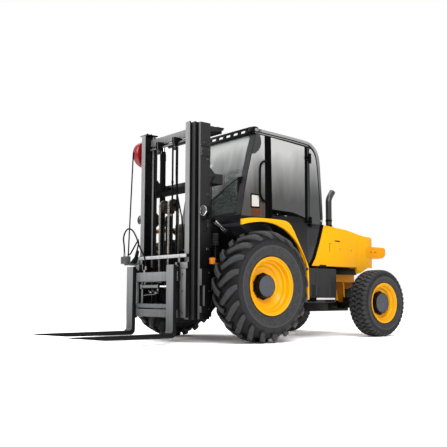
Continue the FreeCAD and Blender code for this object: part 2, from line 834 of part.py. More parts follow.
def mast_middle():
    face = dim("outer_rail_y") - 28
    shapes = rails(middle_x, (face - 60, face), (face - 22, face - 12))
    cross = (middle_x, middle_x + 34)
    for low, high in ((275, 365), (1660, 1740), (2311, 2395)):
        shapes.append(box(cross, (30 - face, face - 30), (low, high)))
    x = dim("lift_cylinder_x")
    y = dim("lift_cylinder_y")
    shapes += mirrored_boxes((x - 34, middle_x + 10), (y - 34, y + 34), (2311, 2370))
    finish("mast_middle", fused(shapes))


def mast_inner():
    face = dim("outer_rail_y") - 56
    shapes = rails(inner_x, (face - 80, face), (face - 48, face - 38))
    for low, high in ((270, 370), (2292, 2382)):
        shapes.append(box((inner_x, inner_x + 26), (40 - face, face - 40), (low, high)))
    shapes.append(box((inner_x, dim("free_lift_x") + 45), (-60, 60), (270, 330)))
    reach = dim("free_lift_x") - dim("sheave_radius") - dim("chain_thickness")
    near = dim("sheave_y") - dim("chain_width") * 0.5
    far = dim("sheave_y") + dim("chain_width") * 0.5
    shapes += mirrored_boxes((reach, inner_x + 26), (near, far), (369, 385))
    for y in (150, -180):
        shapes.append(box((inner_x + 10, 730), (y - 5, y + 5), (2270, 2300)))
        shapes.append(box((690, 720), (y - 5, y + 5), (2180, 2300)))
        shapes.append(rod("Y", (705, y - 12, 2185), 33, 24))
    finish("mast_inner", fused(shapes))


def free_lift():
    x = dim("free_lift_x")
    barrel = rod("Z", (x, 0, 330), 40, 1081)
    bore = rod("Z", (x, 0, 380), 24, 1100)
    finish("free_lift_cylinder", cut(barrel, [bore]))
    z = dim("sheave_z")
    shapes = [rod("Z", (x, 0, 400), 22, 1080), box((x - 42, x + 42), (-52, 52), (1440, 1560))]
    shapes.append(rod("Y", (x, -118, z), 16, 236))
    for side in (1, -1):
        y = side * dim("sheave_y") - 17
        shapes.append(rod("Y", (x, y, z), dim("sheave_radius"), 34))
        shapes.append(cut(rod("Y", (x, y + 2, z), dim("sheave_radius") + dim("chain_thickness"), 30),
                          [box((x - 100, x + 100), (y, y + 40), (z - 100, z))]))
    finish("free_lift_head", fused(shapes))


def lift_chains():
    """Chains from the inner mast over the sheaves to the carriage, as straight runs."""
    x = dim("free_lift_x")
    y = (dim("sheave_y") - dim("chain_width") * 0.5, dim("sheave_y") + dim("chain_width") * 0.5)
    inside = dim("sheave_radius")
    outside = inside + dim("chain_thickness")
    top = dim("sheave_z") - 0.3
    finish("lift_chains_front", fused(mirrored_boxes((x + inside, x + outside), y, (730.3, top))))
    finish("lift_chains_back", fused(mirrored_boxes((x - outside, x - inside), y, (385.3, top))))


def carriage():
    face = inner_x + depth
    shapes = mirrored_boxes((660, 840), (358, 394), (275, 870))
    shapes += mirrored_boxes((face + 8, face + 50), (358, 500), (275, 800))
    shapes += mirrored_boxes((face + 8, face + 50), (340, 530), (799, 870))
    shapes += mirrored_boxes((face + 8, face + 50), (358, 394), (869, 930))
    shapes.append(box((face + 8, face + 44), (-500, 500), (920, 960)))
    half = dim("carriage_half_width")
    bar_x = (840, dim("fork_face_x") - dim("fork_thickness") - 6)
    for low, high in ((665, 770), (275, 362)):
        shapes.append(box(bar_x, (-half, half), (low, high)))
    shapes.append(box((835, 870), (-400, 400), (372, 420)))
    shapes += mirrored_boxes((735, 842), (68, 108), (670, 730))
    manifold_x = (MANIFOLD_X - 28, MANIFOLD_X + 28)
    shapes.append(box(manifold_x, (-690, -550), (880, 970)))
    shapes.append(box((face + 20, MANIFOLD_X + 20), (-620, -480), (862, 881)))
    shapes.append(box((bar_x[0], bar_x[1]), (-200, -160), (765, 800)))
    for z in (430, 810):
        for side in (1, -1):
            start = 393 if side > 0 else -432
            shapes.append(rod("Y", (678, start, z), 48, 39))
    finish("carriage", fused(shapes))


# The block on the carriage that the hoses run to, and the slack hose above it as (y, z).
MANIFOLD_X = 862
HOSE_ROUTE = [(-650, 970), (-650, 1080), (-690, 1200), (-610, 1300), (-490, 1290), (-390, 1190), (-310, 1050),
              (-180, 930), (-180, 800)]


def carriage_hose():
    radius = dim("hose_radius")
    corners = [Vector(MANIFOLD_X, y, z) for y, z in HOSE_ROUTE]
    path = rounded_route(corners)
    spine = doc.addObject("Part::Feature", "HosePath")
    spine.Shape = path
    ring = doc.addObject("Part::Circle", "HoseRing")
    bind(ring, "Radius", radius)
    heading = FreeCAD.Rotation(Vector(0, 0, 1), corners[1] - corners[0])
    ring.Placement = FreeCAD.Placement(corners[0], heading)
    hose = doc.addObject("Part::Sweep", "HoseSweep")
    hose.Sections = [ring]
    hose.Spine = (spine, ["Edge%d" % (i + 1) for i in range(len(path.Edges))])
    hose.Solid = True
    hose.Frenet = False
    doc.recompute()
    section = math.pi * number(radius) ** 2
    print("carriage hose: length %.0f mm, volume over section times length %.4f" % (
        path.Length, hose.Shape.Volume / (section * path.Length)))
    finish("carriage_hose", gathered([hose]))


def reel_hose():
    """The taut hose from the reel to the carriage, in two halves that meet half way."""
    radius = dim("reel_hose_radius")
    top = Vector(788.6, -608, 2232.7)
    end = Vector(MANIFOLD_X - 16, -590, 971.6)
    middle = (top + end) * 0.5
    gap = (end - top).normalize() * 0.2
    finish("reel_hose_upper", gathered([slanted_rod(tuple(top), tuple(middle - gap), radius)]))
    finish("reel_hose_lower", gathered([slanted_rod(tuple(middle + gap), tuple(end), radius)]))


def forks():
    shapes = []
    face = dim("fork_face_x")
    back = face - dim("fork_thickness")
    seat = dim("fork_seat")
    bottom = seat - dim("fork_thickness")
    tip = face + dim("fork_length")
    outer = dim("fork_outer_y")
    line = [(back, dim("fork_top")), (face, dim("fork_top")), (face, seat + 18), (face + 18, seat),
            (tip, seat), (tip, seat - 9), (tip - 350, bottom + 6), (face + 300, bottom), (back + 30, bottom),
            (back, bottom + 30)]
    for y in ((outer - dim("fork_width"), outer), (-outer, dim("fork_width") - outer)):
        shapes.append(prism(line[::-1], y))
        shapes.append(box((841, back + 5), y, (770.5, 800)))
        shapes.append(box((back - 5.5, back + 5), y, (275, 770)))
    finish("forks", fused(shapes))


def hose_reel():
    face = dim("outer_rail_y")
    x = 620
    z = 2225
    shapes = [rod("Y", (x, -655, z), 160, 94)]
    shapes.append(box((x - 60, x + 60), (-562, -552), (z, 2440)))
    shapes.append(box((x - 60, inner_x + depth - 20), (-562, 130 - face), (2426, 2440)))
    shapes.append(box((inner_x + 20, inner_x + depth - 20), (96 - face, 130 - face), (2419, 2427)))
    finish("hose_reel", fused(shapes))


# ---- tilt cylinders ----------------------------------------------------------------------


def tilt_cylinders():
    base = Vector(number(dim("tilt_base_x")), 0, number(dim("tilt_base_z")))
    eye = Vector(number(dim("tilt_eye_x")), 0, number(dim("tilt_eye_z")))
    along = (eye - base).normalize()
    length = (eye - base).Length
    barrels = []
    barrel_bores = []
    pistons = []
    eye_bores = []

    def point(distance, y):
        spot = base + along * distance
        return (spot.x, y, spot.z)

    for y in (number(dim("tilt_cylinder_y")), -number(dim("tilt_cylinder_y"))):
        barrels.append(slanted_rod(point(25, y), point(650, y), 40))
        barrels.append(rod("Y", (base.x, y - 26, base.z), 36, 52))
        barrel_bores.append(slanted_rod(point(78, y), point(680, y), 24))
        barrel_bores.append(rod("Y", (base.x, y - 40, base.z), 20.1, 80))
        pistons.append(slanted_rod(point(222, y), point(length - 20, y), 22))
        pistons.append(rod("Y", (eye.x, y - 24, eye.z), 36, 48))
        eye_bores.append(rod("Y", (eye.x, y - 40, eye.z), 23, 80))
    finish("tilt_cylinder_barrels", cut(fused(barrels), barrel_bores))
    finish("tilt_cylinder_rods", cut(fused(pistons), eye_bores))


wheels()
front_axle()
rear_axle()
rear_knuckle("left", 1)
rear_knuckle("right", -1)
chassis_frame()
mast_mounts()
rear_axle_mount()
engine_block()
tanks()
steps()
side_panels()
bonnet()
counterweight()
exhaust_stack()
fender("left", 1)
fender("right", -1)
cab_frame()
cab_roof()
windows()
door()
cab_interior()
grab_handles()
mast_outer()
headlamps()
lift_cylinders()
mast_middle()
mast_inner()
free_lift()
lift_chains()
carriage()
carriage_hose()
reel_hose()
forks()
hose_reel()
tilt_cylinders()

doc.recompute()

failed = [o.Name + " " + ",".join(o.State) for o in doc.Objects if {"Invalid", "Error"} & set(o.State)]
if failed:
    raise RuntimeError("these objects failed: " + "; ".join(failed))
for part in PARTS:
    if part.Shape.isNull() or not part.Shape.isValid():
        raise RuntimeError(part.Label + " has no valid shape")

os.makedirs("parts", exist_ok=True)
for part in PARTS:
    part.Shape.exportStep(os.path.join("parts", part.Label + ".step"))
    limits = part.Shape.BoundBox
    print("%-24s %2d solid(s) %9.1f cm3  x %6.0f %6.0f  y %6.0f %6.0f  z %6.0f %6.0f" % (
        part.Label, len(part.Shape.Solids), part.Shape.Volume / 1000, limits.XMin, limits.XMax,
        limits.YMin, limits.YMax, limits.ZMin, limits.ZMax))
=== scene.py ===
# %% [markdown]
# # A rough terrain forklift
#
# This lesson dresses a forklift whose sizes, joints and collision shapes come from a CAD model.
# The frame is loaded first and never moved. Every cell after that either makes a finish or
# builds a piece around the frame, in metres, with +X forwards, +Y to the driver's left, +Z up.

# %% Load the frame
import math

import bmesh
import bpy
from mathutils import Matrix, Vector


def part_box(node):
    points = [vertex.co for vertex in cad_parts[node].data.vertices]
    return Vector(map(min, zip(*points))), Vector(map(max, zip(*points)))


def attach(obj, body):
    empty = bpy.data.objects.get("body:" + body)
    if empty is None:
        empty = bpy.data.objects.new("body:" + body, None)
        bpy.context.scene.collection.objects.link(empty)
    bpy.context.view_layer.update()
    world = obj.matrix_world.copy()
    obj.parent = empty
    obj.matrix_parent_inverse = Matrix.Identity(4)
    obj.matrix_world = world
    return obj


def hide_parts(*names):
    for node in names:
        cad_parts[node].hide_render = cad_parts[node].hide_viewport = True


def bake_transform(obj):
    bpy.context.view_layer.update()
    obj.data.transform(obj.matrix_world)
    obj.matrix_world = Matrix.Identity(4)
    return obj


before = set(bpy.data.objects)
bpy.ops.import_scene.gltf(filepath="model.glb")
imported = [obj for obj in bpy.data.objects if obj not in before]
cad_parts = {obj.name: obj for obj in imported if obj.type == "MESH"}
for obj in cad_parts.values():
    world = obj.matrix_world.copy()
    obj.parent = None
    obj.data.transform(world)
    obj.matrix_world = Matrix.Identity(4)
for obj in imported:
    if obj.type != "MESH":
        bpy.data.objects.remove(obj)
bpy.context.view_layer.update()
FRONT_AXLE_X = sum((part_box("front_tyre_left")[i].x for i in (0, 1))) / 2
print("nodes:", len(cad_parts), "front axle at x =", round(FRONT_AXLE_X, 3))


# %% [markdown]
# ## Places
# The machine was drawn from its front axle, so most positions read best from there. `at` turns
# such a position, in millimetres, into the frame's metres. Outlines are written as short texts
# of points, in the order in which their line runs.

# %% From the front axle to the frame
def at(x, y, z):
    return Vector((x / 1000 + FRONT_AXLE_X, y / 1000, z / 1000))


def traced(text):
    """An outline or route written as "x,y x,y", or with three or four numbers a point."""
    return [tuple(float(number) for number in point.split(",")) for point in text.split()]


def span(side, near, far):
    """Two distances from the middle plane, on one side of it, the smaller number first."""
    return sorted((side * near, side * far))


def circle(radius, count, shift=0.0):
    """Places around a circle, starting from its own first axis."""
    turns = [2 * math.pi * (i + shift) / count for i in range(count)]
    return [(radius * math.cos(turn), radius * math.sin(turn)) for turn in turns]


def into_scene(name, data):
    """A new object with this data, linked to the scene."""
    made = bpy.data.objects.new(name, data)
    bpy.context.scene.collection.objects.link(made)
    return made


SIDES = (("left", 1), ("right", -1))
REAR_AXLE_X = -2013
FRONT_WHEEL_Y, FRONT_RADIUS = 823, 615
REAR_WHEEL_Y, REAR_RADIUS = 820, 424
print("rear axle at", [round(v, 3) for v in at(REAR_AXLE_X, 0, REAR_RADIUS)])


# %% [markdown]
# ## Shader maths as Python
# A finish is a small web of nodes. One class wraps a socket, so that sums on it read as Python
# and each operator adds its own Math node. Anything else comes from `node`, which sets a node's
# options first and then its inputs. Colours are mixed in `blend`, because a Math node turns a
# colour grey.

# %% The socket class
class Socket:
    def __init__(self, tree, socket):
        self.tree = tree
        self.socket = socket

    def node(self, kind, inputs, settings=None, out=0):
        made = self.tree.nodes.new("ShaderNode" + kind)
        for name, value in (settings or {}).items():
            if name == "stops":
                ramp = made.color_ramp
                while len(ramp.elements) < len(value):
                    ramp.elements.new(0.5)
                for element, (place, shade) in zip(ramp.elements, value):
                    element.position = place
                    element.color = (shade, shade, shade, 1)
            else:
                setattr(made, name, value)
        for key, value in inputs.items():
            if isinstance(value, Socket):
                self.tree.links.new(value.socket, made.inputs[key])
            else:
                made.inputs[key].default_value = value
        return Socket(self.tree, made.outputs[out])

    def math(self, operation, first, second=0.0):
        return self.node("Math", {0: first, 1: second}, {"operation": operation})

    def __add__(self, other):
        return self.math("ADD", self, other)

    def __radd__(self, other):
        return self.math("ADD", other, self)

    def __sub__(self, other):
        return self.math("SUBTRACT", self, other)

    def __rsub__(self, other):
        return self.math("SUBTRACT", other, self)

    def __mul__(self, other):
        return self.math("MULTIPLY", self, other)

    def __rmul__(self, other):
        return self.math("MULTIPLY", other, self)

    def __pow__(self, other):
        return self.math("POWER", self, other)

    def noise(self, scale, detail=4.0):
        """Cloudy variation over this place, around a half."""
        return self.node("TexNoise", {"Vector": self, "Scale": scale, "Detail": detail, "Roughness": 0.55})

    def ramp(self, low, high):
        """0 below low, 1 above high, and a straight line between them."""
        return self.node("MapRange", {0: self, 1: low, 2: high}, {"clamp": True})

    def blend(self, first, second):
        """A colour between two colours, by this mask."""
        return self.node("Mix", {0: self, 6: first, 7: second}, {"data_type": "RGBA"}, out=2)

    def part(self, index):
        """The x, y or z of this place or direction, as number 0, 1 or 2."""
        return self.node("SeparateXYZ", {0: self}, out=index)

    def bump(self, strength, distance):
        """The surface tilt of this height; both amounts stay on the node itself."""
        return self.node("Bump", {"Height": self, "Strength": strength, "Distance": distance})


def finish(name, **constants):
    """A material with a bare shader, its object place and its shader node."""
    made = bpy.data.materials.new(name)
    made.use_nodes = True
    tree = made.node_tree
    tree.nodes.clear()
    shader = tree.nodes.new("ShaderNodeBsdfPrincipled")
    output = tree.nodes.new("ShaderNodeOutputMaterial")
    tree.links.new(shader.outputs[0], output.inputs[0])
    for key, value in constants.items():
        shader.inputs[key.replace("_", " ")].default_value = value
    place = Socket(tree, tree.nodes.new("ShaderNodeTexCoord").outputs["Object"])
    return made, place, shader


def feed(shader, **links):
    for key, value in links.items():
        value.tree.links.new(value.socket, shader.inputs[key.replace("_", " ")])


def tint(red, green, blue):
    return (red, green, blue, 1.0)


def times(colour, factor):
    """The colour made brighter or darker."""
    return tint(*[c * factor for c in colour[:3]])


def light_rays(tree):
    """Whether a ray comes from the camera, off a glossy surface or through glass, as three masks."""
    rays = tree.nodes.new("ShaderNodeLightPath")
    kinds = ("Camera", "Glossy", "Transmission")
    return [Socket(tree, rays.outputs["Is " + kind + " Ray"]) for kind in kinds]


print("socket class ready")

# %% [markdown]
# ## Paint
# Machine enamel is thick, glossy and almost even. What makes it look real is a little cloud in
# the colour, a fine orange-peel ripple that breaks up the highlights, and dust that settles on
# the lower parts. All the paints share one recipe with different colours and gloss.


# %% Enamel paints
def paint(name, colour, roughness, coat, dust=0.10, shine=0.4):
    made, place, shader = finish(name, Coat_Weight=coat, Coat_Roughness=0.08, Metallic=0.0,
        Specular_IOR_Level=shine)
    cloudy = place.noise(2.6).ramp(0.3, 0.7)
    darker = times(colour, 0.9)
    base = cloudy.blend(darker, colour)
    height = place.part(2)
    low = 1 - height.ramp(0.0, 1.1)
    speck = place.noise(34.0, 6.0).ramp(0.42, 0.75)
    dusty = low * speck * dust
    grime = tint(0.20, 0.17, 0.13)
    feed(shader,
         Base_Color=dusty.blend(base, grime),
         Roughness=place.noise(9.0).ramp(0.2, 0.8) * 0.10 + roughness + dusty * 0.5,
         Normal=place.noise(260.0, 2.0).bump(0.05, 0.002))
    return made


yellow = paint("yellow_enamel", tint(0.930, 0.425, 0.0), 0.28, 0.16, shine=0.12)
black = paint("black_enamel", tint(0.0035, 0.0035, 0.004), 0.34, 0.02, shine=0.08)
deep_black = paint("post_enamel", tint(0.0012, 0.0012, 0.0014), 0.40, 0.0, shine=0.03, dust=0.02)
charcoal = paint("charcoal_enamel", tint(0.011, 0.011, 0.0125), 0.34, 0.08, shine=0.15)
pillar_paint = paint("pillar_enamel", tint(0.045, 0.045, 0.048), 0.30, 0.10, shine=0.2)
stack_paint = paint("stack_enamel", tint(0.030, 0.030, 0.031), 0.30, 0.2, shine=0.4)
fork_grey = paint("fork_enamel", tint(0.085, 0.087, 0.090), 0.38, 0.05, shine=0.2)
hub_grey = paint("hub_enamel", tint(0.070, 0.078, 0.095), 0.45, 0.05, shine=0.2)
white_paint = paint("white_edge_enamel", tint(0.62, 0.62, 0.60), 0.4, 0.05, shine=0.2)
red = paint("reel_enamel", tint(0.31, 0.006, 0.010), 0.26, 0.4, shine=0.3)
cab_paint = paint("cab_enamel", tint(0.009, 0.009, 0.0105), 0.30, 0.08, shine=0.15)
brown_box = paint("box_enamel", tint(0.115, 0.034, 0.010), 0.4, 0.1, shine=0.2)
tank_paint = paint("tank_enamel", tint(0.026, 0.026, 0.028), 0.30, 0.12, shine=0.25)
base_paint = paint("cab_base_enamel", tint(0.026, 0.026, 0.029), 0.32, 0.10, shine=0.2)
# A darker, more orange copy of the yellow enamel for the counterweight guards: painted shade.
guard_yellow_shaded = paint("guard_shaded_enamel", tint(0.86, 0.335, 0.0), 0.30, 0.12, shine=0.12)
# A slightly darker, more orange copy of the yellow enamel for the rear axle mount: painted shade.
mount_yellow_shaded = paint("axle_mount_shaded_enamel", tint(0.90, 0.37, 0.0), 0.34, 0.05, shine=0.1)
# A dark copy of the yellow enamel for the axle mount webs: painted shade.
web_yellow_shaded = paint("axle_web_shaded_enamel", tint(0.24, 0.080, 0.0), 0.40, 0.02, shine=0.08)
print("paints:", [m.name for m in (yellow, black, charcoal, fork_grey, hub_grey, red)])

# %% [markdown]
# ## Metal, rubber, glass and trim
# Worked steel is drawn out into fine streaks, so its noise is stretched along one axis. Rubber is
# dull with a faint bloom. Tinted glass is a dark, shiny sheet that lets part of the light
# through, which is lighter to render than true refraction and looks the same on a thin pane.


# %% Steel and chrome
def streaked(name, colour, roughness, stretch, metallic=1.0):
    made, place, shader = finish(name, Metallic=metallic)
    drawn = place.node("Mapping", {"Vector": place, "Scale": stretch})
    streaks = drawn.noise(60.0, 5.0)
    stain = place.noise(7.0).ramp(0.45, 0.8)
    darker = times(colour, 0.62)
    feed(shader,
         Base_Color=(streaks.ramp(0.3, 0.7) * 0.6 + stain * 0.4).blend(colour, darker),
         Roughness=streaks * 0.22 + roughness,
         Normal=streaks.bump(0.12, 0.001))
    return made


sheave_steel = streaked("sheave_iron", tint(0.070, 0.052, 0.040), 0.36, (1, 1, 1), 0.6)
chain_steel = streaked("chain_steel", tint(0.52, 0.48, 0.43), 0.32, (1, 1, 1))
chrome = streaked("hard_chrome", tint(0.72, 0.72, 0.74), 0.04, (1, 1, 1))
zinc = streaked("plated_bolt", tint(0.35, 0.34, 0.31), 0.30, (1, 1, 1))
print("metals:", [m.name for m in (sheave_steel, chain_steel, chrome, zinc)])


# %% Rubber, plastic and cloth
def rubber(name, colour, roughness, grain, depth, shine=0.18):
    made, place, shader = finish(name, Specular_IOR_Level=shine)
    bloom = place.noise(5.0).ramp(0.35, 0.75)
    paler = times(colour, 2.0)
    feed(shader,
         Base_Color=bloom.blend(colour, paler),
         Roughness=place.noise(20.0) * 0.16 + roughness,
         Normal=place.noise(grain, 3.0).bump(depth, 0.002))
    return made


def tread_rubber(name, axle, half_tread, crown, fall, inner, ring):
    """Tyre rubber with painted shade, near black, down in the grooves and scuffed grey on the lugs.
    The lug tops lie at the crown radius and fall off towards the shoulder; inside the inner radius is
    the side, with a painted highlight line at the ring and a band of painted shade outside it."""
    made, place, shader = finish(name, Specular_IOR_Level=0.2)
    x, y, z = (place.part(k) for k in range(3))
    along, up = x - axle.x, z - axle.z
    radius = (along * along + up * up) ** 0.5
    off = y.math("ABSOLUTE", y) - axle.y
    drop = off.math("ABSOLUTE", off).ramp(half_tread * 0.3, half_tread)
    depth = crown - drop * drop * fall - radius
    shade = depth.ramp(-0.004, 0.012) * radius.ramp(inner, inner + 0.02)
    scuffs = place.noise(26.0, 5.0).ramp(0.35, 0.75)
    patch_tone = scuffs.blend(tint(0.028, 0.0285, 0.030), tint(0.050, 0.050, 0.052))
    # Painted highlight line at the ring radius, and painted shade on the band between it and the lugs.
    painted_ring_highlight = radius.ramp(ring - 0.010, ring) * (1 - radius.ramp(ring, ring + 0.008))
    painted_lighting = radius.ramp(ring, ring + 0.012) * (1 - radius.ramp(inner + 0.01, inner + 0.04)) * 0.75
    side = painted_lighting.blend(painted_ring_highlight.blend(patch_tone, tint(0.062, 0.062, 0.065)), tint(0.008, 0.008, 0.009))
    feed(shader,
         Base_Color=shade.blend(side, tint(0.0012, 0.0012, 0.0013)),
         Roughness=place.noise(20.0) * 0.16 + 0.54,
         Normal=place.noise(120.0, 3.0).bump(0.18, 0.002))
    return made


front_rubber = tread_rubber("front_tyre_rubber", at(0, FRONT_WHEEL_Y, FRONT_RADIUS), half_tread=0.190,
                            crown=0.603, fall=0.085, inner=0.485, ring=0.438)
rear_rubber = tread_rubber("rear_tyre_rubber", at(REAR_AXLE_X, REAR_WHEEL_Y, REAR_RADIUS), half_tread=0.130,
                           crown=0.416, fall=0.045, inner=0.360, ring=0.330)
hose_rubber = rubber("hose_rubber", tint(0.003, 0.003, 0.0033), 0.48, 300.0, 0.08, 0.05)
seal_rubber = rubber("seal_rubber", tint(0.010, 0.010, 0.011), 0.55, 220.0, 0.08)
plastic = rubber("grained_plastic", tint(0.026, 0.026, 0.028), 0.46, 420.0, 0.22)


def woven(name, colour):
    """Cloth: two crossing sets of fine waves give the threads."""
    made, place, shader = finish(name, Specular_IOR_Level=0.15)
    threads = [place.node("TexWave", {"Vector": place, "Scale": 190.0, "Distortion": 0.6},
                          {"bands_direction": axis}, out=1) for axis in ("Y", "DIAGONAL")]
    weave = threads[0] * threads[1]
    lighter = times(colour, 2.4)
    feed(shader,
         Base_Color=weave.ramp(0.2, 0.9).blend(colour, lighter),
         Roughness=weave * 0.1 + 0.82,
         Normal=weave.bump(0.35, 0.001))
    return made


seat_cloth = woven("seat_cloth", tint(0.034, 0.036, 0.040))
belt_cloth = woven("belt_webbing", tint(0.012, 0.012, 0.012))


def trim_strip(name, dark, pale):
    """Rolled edge strip: satin grey with a painted highlight along the roof, darker down the rear corner.
    """
    made, place, shader = finish(name, Specular_IOR_Level=0.3)
    rise = (place.part(2) + place.noise(6.0) * 0.1).ramp(1.55, 2.42)
    feed(shader,
         Base_Color=(rise ** 1.4).blend(dark, pale),
         Roughness=place.noise(12.0) * 0.2 + 0.3,
         Normal=place.noise(200.0, 2.0).bump(0.05, 0.001))
    return made


edge_trim = trim_strip("edge_strip", tint(0.014, 0.014, 0.015), tint(0.26, 0.26, 0.26))
print("soft finishes ready")


# %% Tinted glass
def glass(name, colour, opacity, cloud):
    made, place, shader = finish(name, Metallic=0.0, Coat_Weight=0.3, Coat_Roughness=0.02)
    smear = place.noise(3.0, 3.0).ramp(0.3, 0.8)
    feed(shader,
         Base_Color=smear.blend(colour, times(colour, 1.15)),
         Roughness=smear * 0.03 + 0.02,
         Alpha=smear * cloud + opacity)
    made.surface_render_method = "BLENDED"
    return made


def cab_glass(name, dark, pale, low_alpha, high_alpha):
    """Coated glass: pale with reflected light near the roof, dark and clearer near the sill."""
    made, place, shader = finish(name, Coat_Weight=0.4, Coat_Roughness=0.02, Specular_IOR_Level=0.5)
    wavy = place.node("Mapping", {"Vector": place, "Scale": (1.6, 1.6, 0.5)}).noise(1.5, 3.0)
    height = place.part(2) + (wavy - 0.5) * 0.6
    rise = height.ramp(1.68, 2.26)
    feed(shader,
         Base_Color=(rise ** 1.4).blend(dark, pale),
         Roughness=wavy * 0.04 + 0.04,
         Alpha=rise * (high_alpha - low_alpha) + low_alpha)
    made.surface_render_method = "BLENDED"
    return made


tinted = cab_glass("tinted_glass", tint(0.060, 0.062, 0.062), tint(0.46, 0.465, 0.46), 0.94, 0.97)
clear_tint = cab_glass("windscreen_glass", tint(0.092, 0.110, 0.104), tint(0.52, 0.53, 0.52), 0.42, 0.95)
lens = glass("lamp_lens", tint(0.075, 0.077, 0.080), 0.82, 0.16)


def lamp_glass(name, first, second):
    """Coloured lamp glass: clear lacquer over a slightly uneven colour."""
    made, place, shader = finish(name, Coat_Weight=0.7, Coat_Roughness=0.05)
    feed(shader,
         Base_Color=place.noise(40.0).ramp(0.3, 0.7).blend(first, second),
         Roughness=place.noise(90.0) * 0.1 + 0.15)
    return made


amber = lamp_glass("amber_lens", tint(0.80, 0.20, 0.01), tint(0.90, 0.30, 0.02))
red_lens = lamp_glass("red_lens", tint(0.45, 0.01, 0.01), tint(0.60, 0.02, 0.02))
print("glass ready")

# %% [markdown]
# ## Building pieces in mesh code
# Each piece gathers its shapes in one bmesh, in millimetres from the front axle: plates with
# softened edges, turned parts, swept pipes and bolt heads. `done` turns the mesh into an object,
# names the body it rides on and hides the CAD node that it stands for.


# %% The piece builder
def frame_along(direction):
    """Two unit vectors across a direction."""
    forward = Vector(direction).normalized()
    helper = Vector((0, 0, 1)) if abs(forward.z) < 0.9 else Vector((1, 0, 0))
    side = forward.cross(helper).normalized()
    return side, side.cross(forward).normalized()


INTO_FRAME = Matrix.Translation((FRONT_AXLE_X, 0, 0)) @ Matrix.Scale(0.001, 4)
AXES = {"X": Vector((1, 0, 0)), "Y": Vector((0, 1, 0)), "Z": Vector((0, 0, 1))}
AXES.update({"-" + name: -axis for name, axis in AXES.items()})
triangles = {}


